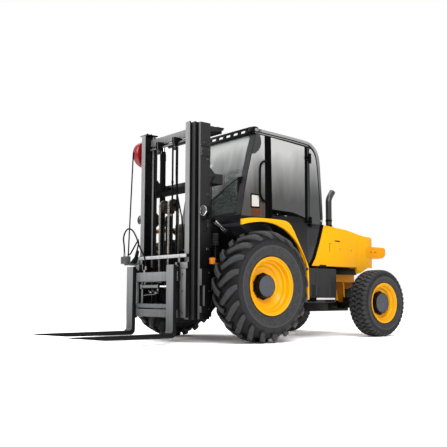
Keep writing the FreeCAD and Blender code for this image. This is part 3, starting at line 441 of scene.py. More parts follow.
class Piece:
    """Shapes in one bmesh; every shape method returns the piece, so that calls can follow on."""

    def __init__(self):
        self.bm = bmesh.new()

    def soften(self, faces, width, steps=2, angle=25):
        """Rounds the sharp edges of the faces just made."""
        edges = dict.fromkeys(e for f in faces for e in f.edges)
        sharp = [e for e in edges if len(e.link_faces) == 2 and e.calc_face_angle(0) > math.radians(angle)]
        if width > 0 and sharp:
            bmesh.ops.bevel(self.bm, geom=sharp, offset=width, segments=steps, profile=0.5,
                            affect="EDGES", clamp_overlap=True)

    def loft(self, rows, foot=True, turns_back=False):
        """A skin over rows of places, each row a closed ring, with flat faces at the two ends. The
        foot can stay open, or the last row can turn back to the first one."""
        rings = [[self.bm.verts.new(place) for place in row] for row in rows]
        faces = []
        for first, second in zip(rings, rings[1:] + (rings[:1] if turns_back else [])):
            for k in range(len(first)):
                n = (k + 1) % len(first)
                faces.append(self.bm.faces.new((first[k], second[k], second[n], first[n])))
        if not turns_back:
            faces += [self.bm.faces.new(rings[0][::-1])] if foot else []
            faces.append(self.bm.faces.new(rings[-1]))
        bmesh.ops.recalc_face_normals(self.bm, faces=faces)
        return faces

    def plate(self, points, axis, low, high, soft=2.0, steps=2):
        """An outline of two coordinates, given thickness along the third axis."""
        place = {"X": lambda u, v, w: (w, u, v),
                 "Y": lambda u, v, w: (u, w, v),
                 "Z": lambda u, v, w: (u, v, w)}[axis]
        rows = [[place(u, v, w) for u, v in points] for w in (low, high)]
        self.soften(self.loft(rows), soft, steps)
        return self

    def block(self, x, y, z, soft=2.0, steps=2):
        corners = [(x[0], z[0]), (x[1], z[0]), (x[1], z[1]), (x[0], z[1])]
        return self.plate(corners, "Y", y[0], y[1], soft, steps)

    def turned(self, profile, centre, axis="Y", sides=64):
        """A profile of (along, radius) turned around an axis through the centre."""
        forward = AXES[axis] if isinstance(axis, str) else Vector(axis).normalized()
        side, up = frame_along(forward)
        rings = []
        for i in range(sides):
            turn = math.radians(360 * i / sides)
            out = side * math.cos(turn) + up * math.sin(turn)
            rings.append([Vector(centre) + forward * along + out * radius for along, radius in profile])
        verts = [[None] * len(profile) for _ in rings]
        for j, (along, radius) in enumerate(profile):
            if radius == 0:
                pole = self.bm.verts.new(rings[0][j])
                for ring in verts:
                    ring[j] = pole
            else:
                for i, ring in enumerate(verts):
                    ring[j] = self.bm.verts.new(rings[i][j])
        faces = []
        for first, second in zip(verts, verts[1:] + verts[:1]):
            for j in range(len(profile) - 1):
                corners = [first[j], first[j + 1], second[j + 1], second[j]]
                corners = [v for k, v in enumerate(corners) if v not in corners[:k]]
                if len(corners) > 2:
                    faces.append(self.bm.faces.new(corners))
        bmesh.ops.recalc_face_normals(self.bm, faces=faces)
        return self

    def rod(self, start, end, radius, sides=32, rim=1.5):
        """A round bar with small chamfers at its ends."""
        length = (Vector(end) - Vector(start)).length
        rim = min(rim, radius * 0.4, length * 0.3)
        profile = [(0, 0), (0, radius - rim), (rim, radius)]
        profile += [(length - rim, radius), (length, radius - rim), (length, 0)]
        return self.turned(profile, start, Vector(end) - Vector(start), sides)

    def pipe(self, points, radius, sides=12, hollow=0.0):
        """A tube swept along points, with flat or hollow ends."""
        path = [Vector(p) for p in points]
        tangents = []
        for i in range(len(path)):
            before, after = path[max(i - 1, 0)], path[min(i + 1, len(path) - 1)]
            tangents.append((after - before).normalized())
        side, up = frame_along(tangents[0])
        turns = [2 * math.pi * k / sides for k in range(sides)]
        outer, inner = [], []
        for point, tangent in zip(path, tangents):
            side = (side - tangent * side.dot(tangent)).normalized()
            up = tangent.cross(side)
            for rows, width in ((outer, radius), (inner, radius - hollow)):
                rows.append([point + (side * math.cos(a) + up * math.sin(a)) * width for a in turns])
        self.loft(outer + inner[::-1] if hollow else outer, turns_back=bool(hollow))
        return self

    def bolt(self, place, axis, size=12.0, height=8.0, washer=True):
        """A hexagon head on a washer, standing on place and pointing along axis."""
        forward = AXES[axis]
        side, up = frame_along(forward)
        base = Vector(place)
        if washer:
            self.rod(base - forward, base + forward * 2, size * 1.15, 20, 0.4)
        ring = [side * math.cos(a) + up * math.sin(a) for a in [math.pi / 3 * k for k in range(6)]]
        levels = [(0, size), (height - 1.5, size), (height, size * 0.84)]
        self.loft([[base + forward * (h + 1) + r * w for r in ring] for h, w in levels], foot=False)
        return self

    def mirrored(self):
        """Everything so far once more, on the other side of the machine."""
        whole = self.bm.verts[:] + self.bm.edges[:] + self.bm.faces[:]
        copied = bmesh.ops.duplicate(self.bm, geom=whole)["geom"]
        verts = [g for g in copied if isinstance(g, bmesh.types.BMVert)]
        for v in verts:
            v.co.y = -v.co.y
        bmesh.ops.reverse_faces(self.bm, faces=[g for g in copied if isinstance(g, bmesh.types.BMFace)])
        return self

    def done(self, name, body, material, slot, replaces=(), crease=35, blend=None):
        """The finished object. Edges sharper than the crease angle stay sharp. A piece given a blend is
        baked into the frame where it was built and not attached to a body."""
        self.bm.transform(INTO_FRAME)
        mesh = bpy.data.meshes.new(name)
        self.bm.to_mesh(mesh)
        self.bm.free()
        mesh.shade_smooth()
        mesh.set_sharp_from_angle(angle=math.radians(crease))
        piece = into_scene(name, mesh)
        mesh.materials.append(material)
        if blend:
            at(*blend[1])
            at(*blend[2])
            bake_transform(piece)
        else:
            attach(piece, body)
        if replaces:
            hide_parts(*replaces)
        triangles[name] = sum(len(p.vertices) - 2 for p in mesh.polygons)
        return piece


def evaluated(made):
    """The mesh of an object with its modifiers applied; the object itself is removed."""
    graph = bpy.context.evaluated_depsgraph_get()
    mesh = bpy.data.meshes.new_from_object(made.evaluated_get(graph))
    bpy.data.objects.remove(made)
    return mesh


def softened(node, name, body, material, slot, width, holes=()):
    """The CAD node's own shape, with boxes cut out of it and its sharp edges rounded."""
    source = bmesh.new()
    source.from_mesh(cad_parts[node].data)
    bmesh.ops.remove_doubles(source, verts=source.verts, dist=2e-5)
    bmesh.ops.dissolve_limit(source, angle_limit=math.radians(1.0), verts=source.verts, edges=source.edges)
    mesh = bpy.data.meshes.new(name + "_copy")
    source.to_mesh(mesh)
    source.free()
    made = into_scene(name + "_copy", mesh)
    cutters = []
    for x, y, z in holes:
        tool = Piece().block(x, y, z, 0)
        tool.bm.transform(INTO_FRAME)
        cutter_mesh = bpy.data.meshes.new(name + "_cutter")
        tool.bm.to_mesh(cutter_mesh)
        tool.bm.free()
        cutter = into_scene(name + "_cutter", cutter_mesh)
        cutters.append(cutter)
        cutting = made.modifiers.new("cut", "BOOLEAN")
        cutting.object = cutter
        cutting.solver = "EXACT"
    bevel = made.modifiers.new("bevel", "BEVEL")
    bevel.width = width / 1000
    bevel.segments = 2
    bevel.limit_method = "ANGLE"
    bevel.angle_limit = math.radians(28)
    mesh = evaluated(made)
    for cutter in cutters:
        bpy.data.objects.remove(cutter)
    mesh.transform(Matrix.Scale(1000, 4) @ Matrix.Translation((-FRONT_AXLE_X, 0, 0)))
    piece = Piece()
    piece.bm.from_mesh(mesh)
    bpy.data.meshes.remove(mesh)
    return piece.done(name, body, material, slot, replaces=(node,))


print("piece builder ready")

# %% [markdown]
# ## Tyres
# The driven front tyres have long curved lugs that run from the middle of the tread over the
# shoulder, set left and right in turn. The small steered rear tyres have close tread blocks.
# Both are a turned carcass with each lug laid on it as a short swept bar, because a lug bends
# around the tyre and down its side, which a stamped pattern can't follow.


# %% A bar laid on a tyre
def on_tyre(centre, y, radius, turn):
    """A point of a tyre: y along the axle, at an angle that grows from the front over the top."""
    return Vector((centre[0] + radius * math.cos(turn), centre[1] + y, centre[2] + radius * math.sin(turn)))


def lug(piece, centre, stations, foot, crown, side, reach=400):
    """Stations of (y, angle, foot radius, top radius); foot and crown are the widths below and on top.
    Beyond reach, where the bar turns down the side, its foot lies inside the tyre's side."""
    feet = [on_tyre(centre, side * (y - max(0, y - reach) * 0.3), low, turn)
            for y, turn, low, _ in stations]
    tops = [on_tyre(centre, side * y, high, turn) for y, turn, _, high in stations]
    rows = []
    for i, (base, top) in enumerate(zip(feet, tops)):
        ahead = (feet[min(i + 1, len(feet) - 1)] - feet[max(i - 1, 0)]).normalized()
        turn = stations[i][1]
        around = Vector((-math.sin(turn), 0, math.cos(turn)))
        across = (around - ahead * around.dot(ahead)).normalized() * side
        rows.append([base - across * foot / 2, top - across * crown / 2,
                     top + across * crown / 2, base + across * foot / 2])
    return piece.loft(rows)


def both_sides(half):
    """A half profile of (y, radius), from the bead to the middle, completed on the other side."""
    return half + [(-y, r) for y, r in half[::-1]]


print("lug helper ready")

# %% Front tyres
FRONT_LUGS = 20
FRONT_CARCASS = traced("150,306 158,326 166,334 177,350 186,376 191,404 192.5,426 196.2,433 196.2,445"
    " 192,460 188,482 179,506 162,528 140,545 110,559 60,570 0,573")
LUG_TOP = traced("3,0.0,566,614.2 30,0.03,565,614.2 62,0.072,562,613 94,0.122,556,608 122,0.174,544,600"
    " 147,0.22,532,587 168,0.256,514,567 183,0.28,496,543 192,0.294,476,516 194,0.302,466,488")


def carcass(profile, bead, centre, sides, side_lines, foot, top, rise):
    """The turned body of a tyre, with two raised lines around each of its sides."""
    piece = Piece()
    outline = both_sides(profile)
    piece.turned(outline + [(-bead[0], bead[1]), bead, outline[0]], centre, "Y", sides)
    for middle, y in side_lines:
        for edge in (1, -1):
            piece.turned([(edge * (y - 3), middle - foot), (edge * (y + rise), middle - top),
                (edge * (y + rise), middle + top), (edge * (y - 3), middle + foot)], centre, "Y", 96)
    return piece


def lug_places(count):
    """The angle of every lug on each half of the tread; the halves are set half a lug apart."""
    return [(2 * math.pi * (i + shift) / count, edge)
            for i in range(count) for edge, shift in ((1, 0.0), (-1, 0.5))]


def tyre_done(piece, which, side_name, rubber_finish):
    name = which + "_tyre_" + side_name
    piece.done(name + "_treaded", which + "_wheel_" + side_name, rubber_finish, "tyre_rubber",
               replaces=(name,), crease=40)


for side_name, side in SIDES:
    centre = (0, side * FRONT_WHEEL_Y, FRONT_RADIUS)
    tyre = carcass(FRONT_CARCASS, (128, 306), centre, 120, ((362, 181.2), (390, 188.4)), 5, 2, 2.2)
    faces = []
    for start, edge in lug_places(FRONT_LUGS):
        stations = [(y, start + turn, low, high) for y, turn, low, high in LUG_TOP]
        faces += lug(tyre, centre, stations, 74, 48, edge, 120)
    tyre.soften(faces, 4.0, 2, 32)
    tyre_done(tyre, "front", side_name, front_rubber)
print("front tyre triangles:", triangles["front_tyre_left_treaded"])

# %% Rear tyres
REAR_BLOCKS = 42
REAR_CARCASS = traced("100,236 108,258 114,264 122,278 130,300 135,325 136.5,345 134,366 127,384 114,396"
    " 80,404 40,407 0,408")


for side_name, side in SIDES:
    centre = (REAR_AXLE_X, side * REAR_WHEEL_Y, REAR_RADIUS)
    tyre = carcass(REAR_CARCASS, (88, 236), centre, 96, ((284, 125.5), (366, 134.4)), 4, 1.5, 1.6)
    faces = []
    for turn, edge in lug_places(REAR_BLOCKS):
        shoulder = [(74, turn, 398, 421.5), (98, turn + 0.006, 394, 418), (117, turn + 0.010, 386, 409),
                    (128, turn + 0.012, 374, 394), (133, turn + 0.013, 362, 374)]
        faces += lug(tyre, centre, shoulder, 44, 37, edge, 100)
        middle = [(30, turn + 0.085, 402, 422.2), (48, turn + 0.050, 400, 422),
            (66, turn + 0.075, 399, 421.4)]
        faces += lug(tyre, centre, middle, 44, 38, edge)
        inner = [(3, turn + 0.02, 403, 422.2), (24, turn + 0.055, 402, 422.2)]
        faces += lug(tyre, centre, inner, 46, 40, edge)
    tyre.soften(faces, 2.2, 1, 32)
    tyre_done(tyre, "rear", side_name, rear_rubber)
print("rear tyre triangles:", triangles["rear_tyre_left_treaded"])

# %% [markdown]
# ## Rims and hubs
# A rim is pressed steel: a curled flange, the slope that the bead sits on, a drop in the middle
# and a deep dish down to the disc. The disc is held by a ring of nuts around a cast hub, which
# turns with the wheel. Everything here is turned around the axle, so one profile says it all.


# %% Rims
def rim(which, side_name, centre, profile, hub_profile, face_profile, nut_ring, nut_face, bolt_ring,
        bolt_face):
    """A dish, a hub with ten nuts and a hub face with ten bolts; ring is a radius, face a distance out."""
    name, body = which + "_rim_" + side_name, which + "_wheel_" + side_name
    side = 1 if side_name == "left" else -1
    nuts = bolts = 10
    dish = Piece()
    dish.turned([(side * y, r) for y, r in profile], centre, "Y", 120)
    dish.done(name + "_dish", body, yellow, "yellow_paint", replaces=(name,), crease=28)
    axis = "Y" if side > 0 else "-Y"
    hub = Piece()
    hub.turned([(side * y, r) for y, r in hub_profile], centre, "Y", 72)
    for dx, dz in circle(nut_ring, nuts, 0.5):
        x, y, z = centre[0] + dx, centre[1] + side * nut_face, centre[2] + dz
        hub.rod((x, y - side * 16, z), (x, y + side * 20, z), 6, 12)
        hub.bolt((x, y - side * 14, z), axis, 10, 14, False)
    hub.done(name + "_hub", body, black, "black_paint", crease=30)
    face = Piece()
    face.turned([(side * y, r) for y, r in face_profile], centre, "Y", 72)
    for dx, dz in circle(bolt_ring, bolts):
        face.bolt((centre[0] + dx, centre[1] + side * bolt_face, centre[2] + dz), axis, 7, 6)
    face.done(name + "_hub_face", body, hub_grey, "engine_grey", crease=30)


def closed(profile):
    return profile + [profile[0]]


FRONT_RIM = closed(traced("173,319 173,310 169,305 156,302 151,294 147,286 112,280 102,276 96,268 90,262"
    " 66,257 57,250 50,236 42,224 28,216 20,208 16,196 16,136 3,136 3,200 12,222 28,240 38,262 -78,262"
    " -92,268 -104,288 -148,291 -160,300 -166,308 -173,310 -173,319 -163,319 -158,303 -118,300 -98,279"
    " 63,279 82,300 158,303 163,319"))
FRONT_HUB = traced("-25,0 -25,138 18,138 20,144 29,144 31,140 31,130 40,127 86,124 91,121 91,115 85,113"
    " 85,0")
FRONT_FACE = traced("83,0 83,116 90,117 93,114 93,98 90,95 90,60 93,56 93,30 96,26 96,0")
REAR_RIM = closed(traced("122,254 122,243 118,238 108,234 104,224 92,219 80,216 70,208 62,196 50,190"
    " 36,186 30,178 28,166 28,118 17,118 17,168 22,196 -62,196 -72,200 -82,216 -104,220 -112,230 -116,240"
    " -122,243 -122,254 -112,254 -108,231 -84,228 -74,208 34,208 60,228 108,231 112,254"))
REAR_HUB = traced("-30,0 -30,116 29,116 29,143 36,146 44,146 46,143 46,136 84,131 89,128 89,120 84,118"
    " 84,0")
REAR_FACE = traced("82,0 82,121 89,122 92,119 92,100 89,97 89,60 92,56 92,28 95,24 95,0")
for side_name, side in SIDES:
    rim("front", side_name, (0, side * FRONT_WHEEL_Y, FRONT_RADIUS), FRONT_RIM, FRONT_HUB, FRONT_FACE,
        nut_ring=142, nut_face=30, bolt_ring=106, bolt_face=92)
    rim("rear", side_name, (REAR_AXLE_X, side * REAR_WHEEL_Y, REAR_RADIUS), REAR_RIM, REAR_HUB, REAR_FACE,
        nut_ring=144, nut_face=46, bolt_ring=108, bolt_face=91)
print("rims:", [k for k in triangles if "dish" in k])

# %% [markdown]
# ## Mast rails
# Three pairs of rolled steel rails nest in each other: the outer pair is a channel, the middle
# and inner pairs are I sections, so that rollers run in them. Each is one outline of the section
# drawn out to the mast's height, which is how a rolled section is made. Forward faces carry a
# painted grey reflection of the frontal light, and on the outer mast the high faces that look left
# are painted lighter, so this paint looks at which way a surface faces on the machine.


# %% Paint with painted light on the faces that look forwards
def facing_lit(name, colour, forward, roughness, shine, painted_side_light=0.0):
    made, place, shader = finish(name, Coat_Weight=0.05, Specular_IOR_Level=shine)
    facing = Socket(place.tree, place.socket.node.outputs["Normal"])
    # Painted reflection: faces that look forwards take the forward colour, weaker towards the bottom and in
    # lighter streaks.
    ahead = facing.part(0).ramp(0.55, 0.92)
    streak = place.node("Mapping", {"Vector": place, "Scale": (1, 1, 0.05)}).noise(30.0, 5.0)
    patch_tone = times(forward, 1.25)
    pale = streak.ramp(0.35, 0.7).blend(forward, patch_tone)
    height = place.part(2)
    low = height.ramp(0.05, 0.75)
    # Painted light: high faces that look to the left are lifted to at least the side light level.
    sideways = facing.part(1).ramp(0.6, 0.95)
    painted_lighting = (sideways * height.ramp(0.95, 1.35)).blend(colour, tint(*[max(c, painted_side_light) for c in colour[:3]]))
    feed(shader,
         Base_Color=(ahead * (low * 0.6 + 0.4)).blend(painted_lighting, pale),
         Roughness=place.noise(14.0) * 0.2 + roughness,
         Normal=place.noise(240.0, 2.0).bump(0.06, 0.002))
    return made


# Each forward colour is a painted reflection of the frontal light: brightest on the bars, the inner mast
# and the forks, weakest on the middle mast. The outer mast also gets painted light on its left side.
mast_paint = facing_lit("facing_lit_mast_paint", tint(0.0030, 0.0030, 0.0034), tint(0.265, 0.265, 0.265),
    0.42, 0.06)
middle_paint = facing_lit("facing_lit_middle_paint", tint(0.0025, 0.0025, 0.0028),
    tint(0.060, 0.060, 0.060), 0.42, 0.06)
outer_paint = facing_lit("facing_lit_outer_paint", tint(0.0030, 0.0030, 0.0034), tint(0.17, 0.17, 0.17),
    0.42, 0.06, painted_side_light=0.021)
dark_paint = facing_lit("facing_lit_dark_paint", tint(0.0022, 0.0022, 0.0025), tint(0.010, 0.010, 0.011),
    0.42, 0.05)
fork_paint = facing_lit("facing_lit_fork_paint", tint(0.0060, 0.0060, 0.0065), tint(0.245, 0.247, 0.252),
    0.40, 0.08)
bar_paint = facing_lit("facing_lit_bar_paint", tint(0.012, 0.012, 0.0125), tint(0.56, 0.565, 0.57), 0.42,
    0.08)
print("weathered paints ready")

# %% Rail sections
MAST_LOW, MAST_HIGH = 257, 2419
PULLEY_X, PULLEY_YS, PULLEY_Z = 705, (150, -180), 2185
CHAIN_Y, SHEAVE_X, SHEAVE_Z = 88, 675, 1530
LAMP_CENTRE, REEL_CENTRE = (611, 625, 1420), (620, -608, 2225)
OUTER_SECTION = traced("504,507 520,507 520,529 628,529 628,507 644,507 644,541 504,541")
MIDDLE_SECTION = traced("556,453 572,453 572,491 680,491 680,453 696,453 696,513 680,513 680,501 572,501"
    " 572,513 556,513")
INNER_SECTION = traced("608,405 624,405 624,437 732,437 732,405 748,405 748,485 732,485 732,447 624,447"
    " 624,485 608,485")


def rail_pair(section):
    piece = Piece()
    piece.plate(section, "Z", MAST_LOW, MAST_HIGH, 2.2)
    return piece


def weld(piece, start, end, size=5.0):
    """A bead of weld metal along a joint, with the ripple of its passes."""
    first, last = Vector(start), Vector(end)
    steps = max(3, int((last - first).length / 16))
    points = [first.lerp(last, i / steps) for i in range(steps + 1)]
    return piece.pipe(points, size, 6)


print("rail sections ready")

# %% Outer mast
outer = rail_pair(OUTER_SECTION)
outer.plate(traced("506,2330 506,2392 316,2392 313,2372 350,2352"), "Y", 515, 541, 3)
outer.block((313, 420), (500, 548), (2384, 2394), 2)
outer.block((318, 514), (515, 541), (1750, 1860), 3)
outer.block((313, 326), (498, 556), (1746, 1864), 3)
for z in (1775, 1835):
    outer.bolt((313, 549, z), "-X", 6, 5, False)
    weld(outer, (503, 542, z - 20), (503, 542, z + 20))
outer.plate([(430, 1858), (506, 1858), (506, 1930)], "Y", 524, 534, 2)
outer.block((508, 636), (541, 550), (2040, 2135), 2.5)
for x in (530, 614):
    for z in (2062, 2112):
        outer.bolt((x, 550, z), "Y", 8, 7)
outer.turned(traced("0,0 0,24 6,24 9,21 9,11 4,11 4,0"), (574, 541, 2190), "Y", 24)
outer.plate(traced("514,300 514,560 415,480 400,430 420,385"), "Y", 478, 541, 3)
outer.turned(traced("0,31 0,46 9,46 12,43 12,31"), (445, 541, 430), "Y", 32)
side_block = traced("508,330 508,800 644,800 644,620 600,620 600,400 644,400 644,330")
outer.plate(side_block, "Y", 537, 576, 4)
for x, z in ((538, 365), (538, 560), (538, 755)):
    outer.bolt((x, 576, z), "Y", 9, 5)
outer.plate(traced("514,1330 514,1510 450,1454 432,1420 450,1386"), "Y", 495, 541, 3)
outer.turned(traced("0,15.5 0,26 6,26 8,24 8,15.5"), (470, 541, 1420), "Y", 24)
for z in (1000, 1600, 1990):
    outer.block((516, 556), (541, 553), (z, z + 30), 2.5)
    outer.bolt((536, 553, z + 15), "Y", 7, 6)
for z in (700, 1250):
    outer.block((508, 540), (541, 549), (z, z + 46), 2.5)
outer.mirrored()
outer.block((462, 545), (-524, 524), (281, 357), 4)
outer.block((511, 640), (541, 549), (2150, 2168), 2)
outer.done("mast_outer_welded", "outer_mast", outer_paint, "black_paint", replaces=("mast_outer",))
back_bars = Piece()
back_bars.pipe([(497, 546, z) for z in (1040, 1060)] + [(497, 548, z) for z in range(1100, 1741, 80)] +
               [(480, 550, 1790), (450, 552, 1830)], 7, 10)
for low, high in ((2335, 2392), (1750, 1860)):
    back_bars.block((314, 350), (-510, 510), (low, high), 4)
    for y in (-503, 503):
        back_bars.block((318, 346), (y - 4, y + 4), (low - 5, high + 5), 2)
back_bars.done("mast_outer_back_bars", "outer_mast", dark_paint, "black_paint")
print("outer mast triangles:", triangles["mast_outer_welded"])

# %% Middle mast
middle = rail_pair(MIDDLE_SECTION)
middle.block((482, 566), (336, 404), (2312, 2369), 3)
middle.turned(traced("0,0 0,16 10,16 10,0"), (515, 370, 2369), "Z", 24)
middle.bolt((515, 370, 2379), "Z", 15, 12)
middle.turned(traced("0,0 0,26 18,26 18,0"), (588, 481, 2330), "Y", 28)
middle.mirrored()
for low, high in ((277, 363), (2313, 2393)):
    middle.block((557, 589), (-505, 505), (low, high), 3)
    weld(middle, (590, -500, low), (590, 500, low), 3)
for y in (-470, 470):
    middle.plate([(y - 26, 1600), (y + 26, 1600), (y + 26, 1800), (y - 26, 1800)], "X", 557, 566, 3)
middle.done("mast_middle_welded", "middle_mast", middle_paint, "black_paint", replaces=("mast_middle",))
cross_bar = Piece()
bowed = [(590 + 8 * math.cos(math.pi * y / 1000), y) for y in range(-480, 481, 60)]
cross_bar.plate([(560, -480)] + bowed + [(560, 480)], "Z", 1672, 1728, 4)
cross_bar.plate(traced("572,-470 601,-470 601,470 572,470"), "Z", 1728, 1734, 2)
cross_bar.done("mast_middle_cross_bar", "middle_mast", dark_paint, "black_paint")
print("middle mast triangles:", triangles["mast_middle_welded"])

# %% Inner mast
inner = rail_pair(INNER_SECTION)
inner.mirrored()
for low, high in ((272, 368), (2294, 2380)):
    inner.block((609, 633), (-452, 452), (low, high), 4)
inner.block((636, 646), (-440, 440), (2294, 2378), 3)
inner.block((636, 654), (-440, 440), (2243, 2262), 3)
inner.block((609, 719), (-59, 59), (271, 329), 4)
for side in (1, -1):
    inner.block((604, 633), (side * CHAIN_Y - 15, side * CHAIN_Y + 15), (369.5, 385), 2)
    inner.bolt((619, side * CHAIN_Y, 369), "-Z", 9, 8)
for y in PULLEY_YS:
    for edge in (-19, 15):
        inner.plate(traced("618,2300 738,2300 738,2240 722,2168 705,2160 688,2168 672,2250 618,2270"),
            "Y", y + edge - 2, y + edge + 3, 1.5)
    inner.bolt((PULLEY_X, y + 18, PULLEY_Z), "Y", 12, 9)
    inner.rod((PULLEY_X, y - 26, PULLEY_Z), (PULLEY_X, y + 20, PULLEY_Z), 10, 20)
inner.done("mast_inner_welded", "inner_mast", mast_paint, "black_paint", replaces=("mast_inner",))
top_bar = Piece()
top_bar.block((634.5, 640), (-404, 404), (2290, 2381), 2)
top_bar.done("mast_top_bar_face", "inner_mast", bar_paint, "black_paint")
print("inner mast triangles:", triangles["mast_inner_welded"])

# %% [markdown]
# ## Hose pulleys and the hoses in the mast
# Oil for the carriage goes up the middle of the mast and over small grooved pulleys. Each pulley
# is turned with its groove, and each hose is one tube that follows it over the top, which a
# straight tube with two stubs would not show.

# %% Pulleys and hoses
pulleys = Piece()
for y in PULLEY_YS:
    groove = traced("-12,0 -12,33 -9,33 -4,25 4,25 9,33 12,33 12,0")
    pulleys.turned(groove, (PULLEY_X, y, PULLEY_Z), "Y", 40)
pulleys.done("hose_pulleys", "inner_mast", zinc, "black_paint", crease=30)
hoses = Piece()
for y in PULLEY_YS:
    over = [(PULLEY_X + dx, y, PULLEY_Z + dz) for dx, dz in circle(32, 20)[:11]]
    front_run = [(737, y, z) for z in (420, 800, 1200, 1700, 2100)]
    back_run = [(673, y, z) for z in (2100, 1700, 1200, 800, 420)]
    hoses.pipe(front_run + over + back_run, 10.5, 14)
    for z in (900, 1780):
        hoses.turned(traced("-14,10.5 -14,13.5 14,13.5 14,10.5"), (737, y, z), "Z", 16)
hoses.pipe(traced("700,168,2190 704,172,1900 712,190,1700 716,240,1560 714,300,1380 708,322,1150"
    " 700,326,900 700,326,480"), 8, 12)
hoses.done("mast_hoses", "inner_mast", hose_rubber, "hose_rubber", crease=50)
clamps = Piece()
for y in PULLEY_YS:
    clamps.block((634, 748), (y - 14, y + 14), (402, 424), 3)
    clamps.block((634, 660), (y - 14, y + 14), (330, 410), 3)
    clamps.bolt((705, y, 424), "Z", 7, 6)
for z in (700, 1000, 1300):
    clamps.block((636, 708), (318, 334), (z, z + 14), 2)
    clamps.bolt((700, 334, z + 7), "Y", 6, 5)
    clamps.block((625, 640), (318, 406), (z, z + 14), 2)
clamps.done("mast_hose_clamps", "inner_mast", zinc, "black_paint")
print("mast hose triangles:", triangles["mast_hoses"])

# %% [markdown]
# ## Lift cylinders
# The two outer cylinders stand behind the rails and push the middle mast up; the short one in
# the middle lifts the chain head first, with the mast still down. Barrels are turned with their
# gland nuts and ports, and the rods are hard chrome.

# %% Barrels
barrels = Piece()
barrels.turned(traced("0,23 0,34 60,34 64,36 84,36 88,34 1770,34 1774,37 1850,37 1858,34 1868,32 1882,32"
    " 1882,23 0,23"), (515, 370, 358), "Z", 40)
barrels.rod((515, 370, 390), (515, 410, 390), 13, 20)
barrels.rod((515, 404, 390), (515, 404, 470), 8, 14)
for z in (900, 1500):
    barrels.turned(traced("-12,34 -12,38 12,38 12,34"), (515, 370, z), "Z", 32)
barrels.mirrored()
barrels.done("lift_barrels_turned", "outer_mast", dark_paint, "black_paint", replaces=("lift_cylinders",),
    crease=30)
centre_barrel = Piece()
centre_barrel.turned(traced("0,23 0,40 40,40 44,42 70,42 74,40 1010,40 1014,43 1062,43 1070,40 1081,36"
    " 1081,23 0,23"), (675, 0, 330), "Z", 48)
centre_barrel.rod((690, 0, 420), (732, 0, 420), 14, 20)
centre_barrel.pipe(traced("728,0,420 736,0,450 738,0,520 738,0,1290 730,0,1330 708,0,1342"), 7, 10)
centre_barrel.done("free_lift_barrel_turned", "inner_mast", dark_paint, "black_paint",
                   replaces=("free_lift_cylinder",), crease=30)
print("barrel triangles:", triangles["lift_barrels_turned"])

# %% Chain head
head = Piece()
head.plate(traced("-52,1442 52,1442 52,1500 40,1558 -40,1558 -52,1500"), "X", 634, 716, 4)
head.rod((SHEAVE_X, -120, SHEAVE_Z), (SHEAVE_X, 120, SHEAVE_Z), 16, 28)
for side in (1, -1):
    head.bolt((SHEAVE_X, side * 112, SHEAVE_Z), "Y" if side > 0 else "-Y", 20, 8, False)
head.done("chain_head_block", "lift_head", dark_paint, "black_paint", replaces=("free_lift_head",))
sheaves = Piece()
for side in (1, -1):
    profile = traced("-17,18 -17,30 -12,36 -12,48 -17,54 -17,70 -14.5,71 -14.5,60 14.5,60 14.5,71 17,70"
        " 17,54 12,48 12,36 17,30 17,18")
    sheaves.turned(profile, (SHEAVE_X, side * CHAIN_Y, SHEAVE_Z), "Y", 56)
sheaves.done("chain_sheaves", "lift_head", sheave_steel, "steel", crease=30)
rod_piece = Piece()
rod_piece.rod((675, 0, 402), (675, 0, 1446), 22, 36)
rod_piece.done("free_lift_rod", "lift_head", chrome, "rod_chrome")
print("chain head triangles:", triangles["chain_head_block"])

# %% [markdown]
# ## Leaf chains
# A lift chain is made of flat plates on short pins, laced side by side. Every link is drawn
# here, since a striped strap would look flat from the side. Each straight run lies between the
# two bodies that it joins, and stays fixed in the frame without being attached to either.

# %% Chain links
PITCH = 25.4


def chain_link(piece, centre, along, across, wide=True):
    """Plates of one link with the pin at its end: along is the run, across the chain's thickness."""
    along, across = Vector(along), Vector(across)
    middle = Vector(centre)
    plates = (-13, -5, 3, 11) if wide else (-9, -1, 7)
    for offset in plates:
        outline = []
        for k in range(12):
            a = 2 * math.pi * k / 12
            bulge = PITCH / 2 if math.cos(a) > 0 else -PITCH / 2
            outline.append(middle + along * (math.cos(a) * 7.5 + bulge * 0.96)
                + across * (math.sin(a) * 5.6))
        piece.loft([[p + Vector((0, offset + edge, 0)) for p in outline] for edge in (-1.5, 1.5)])
    pin = middle + along * PITCH / 2
    piece.rod(pin - Vector((0, 14.6, 0)), pin + Vector((0, 14.6, 0)), 3.6, 8, 0.6)


def chain_run(name, x, low, high, body, slot_name, node, other, start, end):
    piece = Piece()
    count = round((high - low) / PITCH)
    step = (high - low) / count
    for side in (1, -1):
        for i in range(count):
            centre = (x, side * CHAIN_Y, low + step * (i + 0.5))
            chain_link(piece, centre, (0, 0, step / PITCH), (1, 0, 0), i % 2 == 0)
    piece.done(name, body, chain_steel, slot_name, replaces=(node,), blend=(other, start, end))


chain_run("lift_chains_front_links", 741, 731, 1529, "lift_head", "steel", "lift_chains_front",
    "fork_carriage", (741, 88, 1529.7), (741, 88, 730.3))
chain_run("lift_chains_back_links", 609, 386, 1529, "inner_mast", "steel", "lift_chains_back", "lift_head",
          (609, 88, 385.3), (609, 88, 1529.7))
over_top = Piece()
for side in (1, -1):
    for i in range(8):
        turn = math.pi * (i + 0.5) / 8
        out = Vector((math.cos(turn), 0, math.sin(turn)))
        along = Vector((-math.sin(turn), 0, math.cos(turn)))
        chain_link(over_top, Vector((SHEAVE_X, side * CHAIN_Y, SHEAVE_Z)) + out * 66, along, out,
            i % 2 == 0)
over_top.done("lift_chains_over_sheaves", "lift_head", chain_steel, "steel")
print("chain triangles:", triangles["lift_chains_front_links"], triangles["lift_chains_back_links"])

# %% [markdown]
# ## Headlamps
# Each lamp is a shallow bowl on a bent plate beside the mast: a pale rim, a reflector and a
# slightly domed lens.

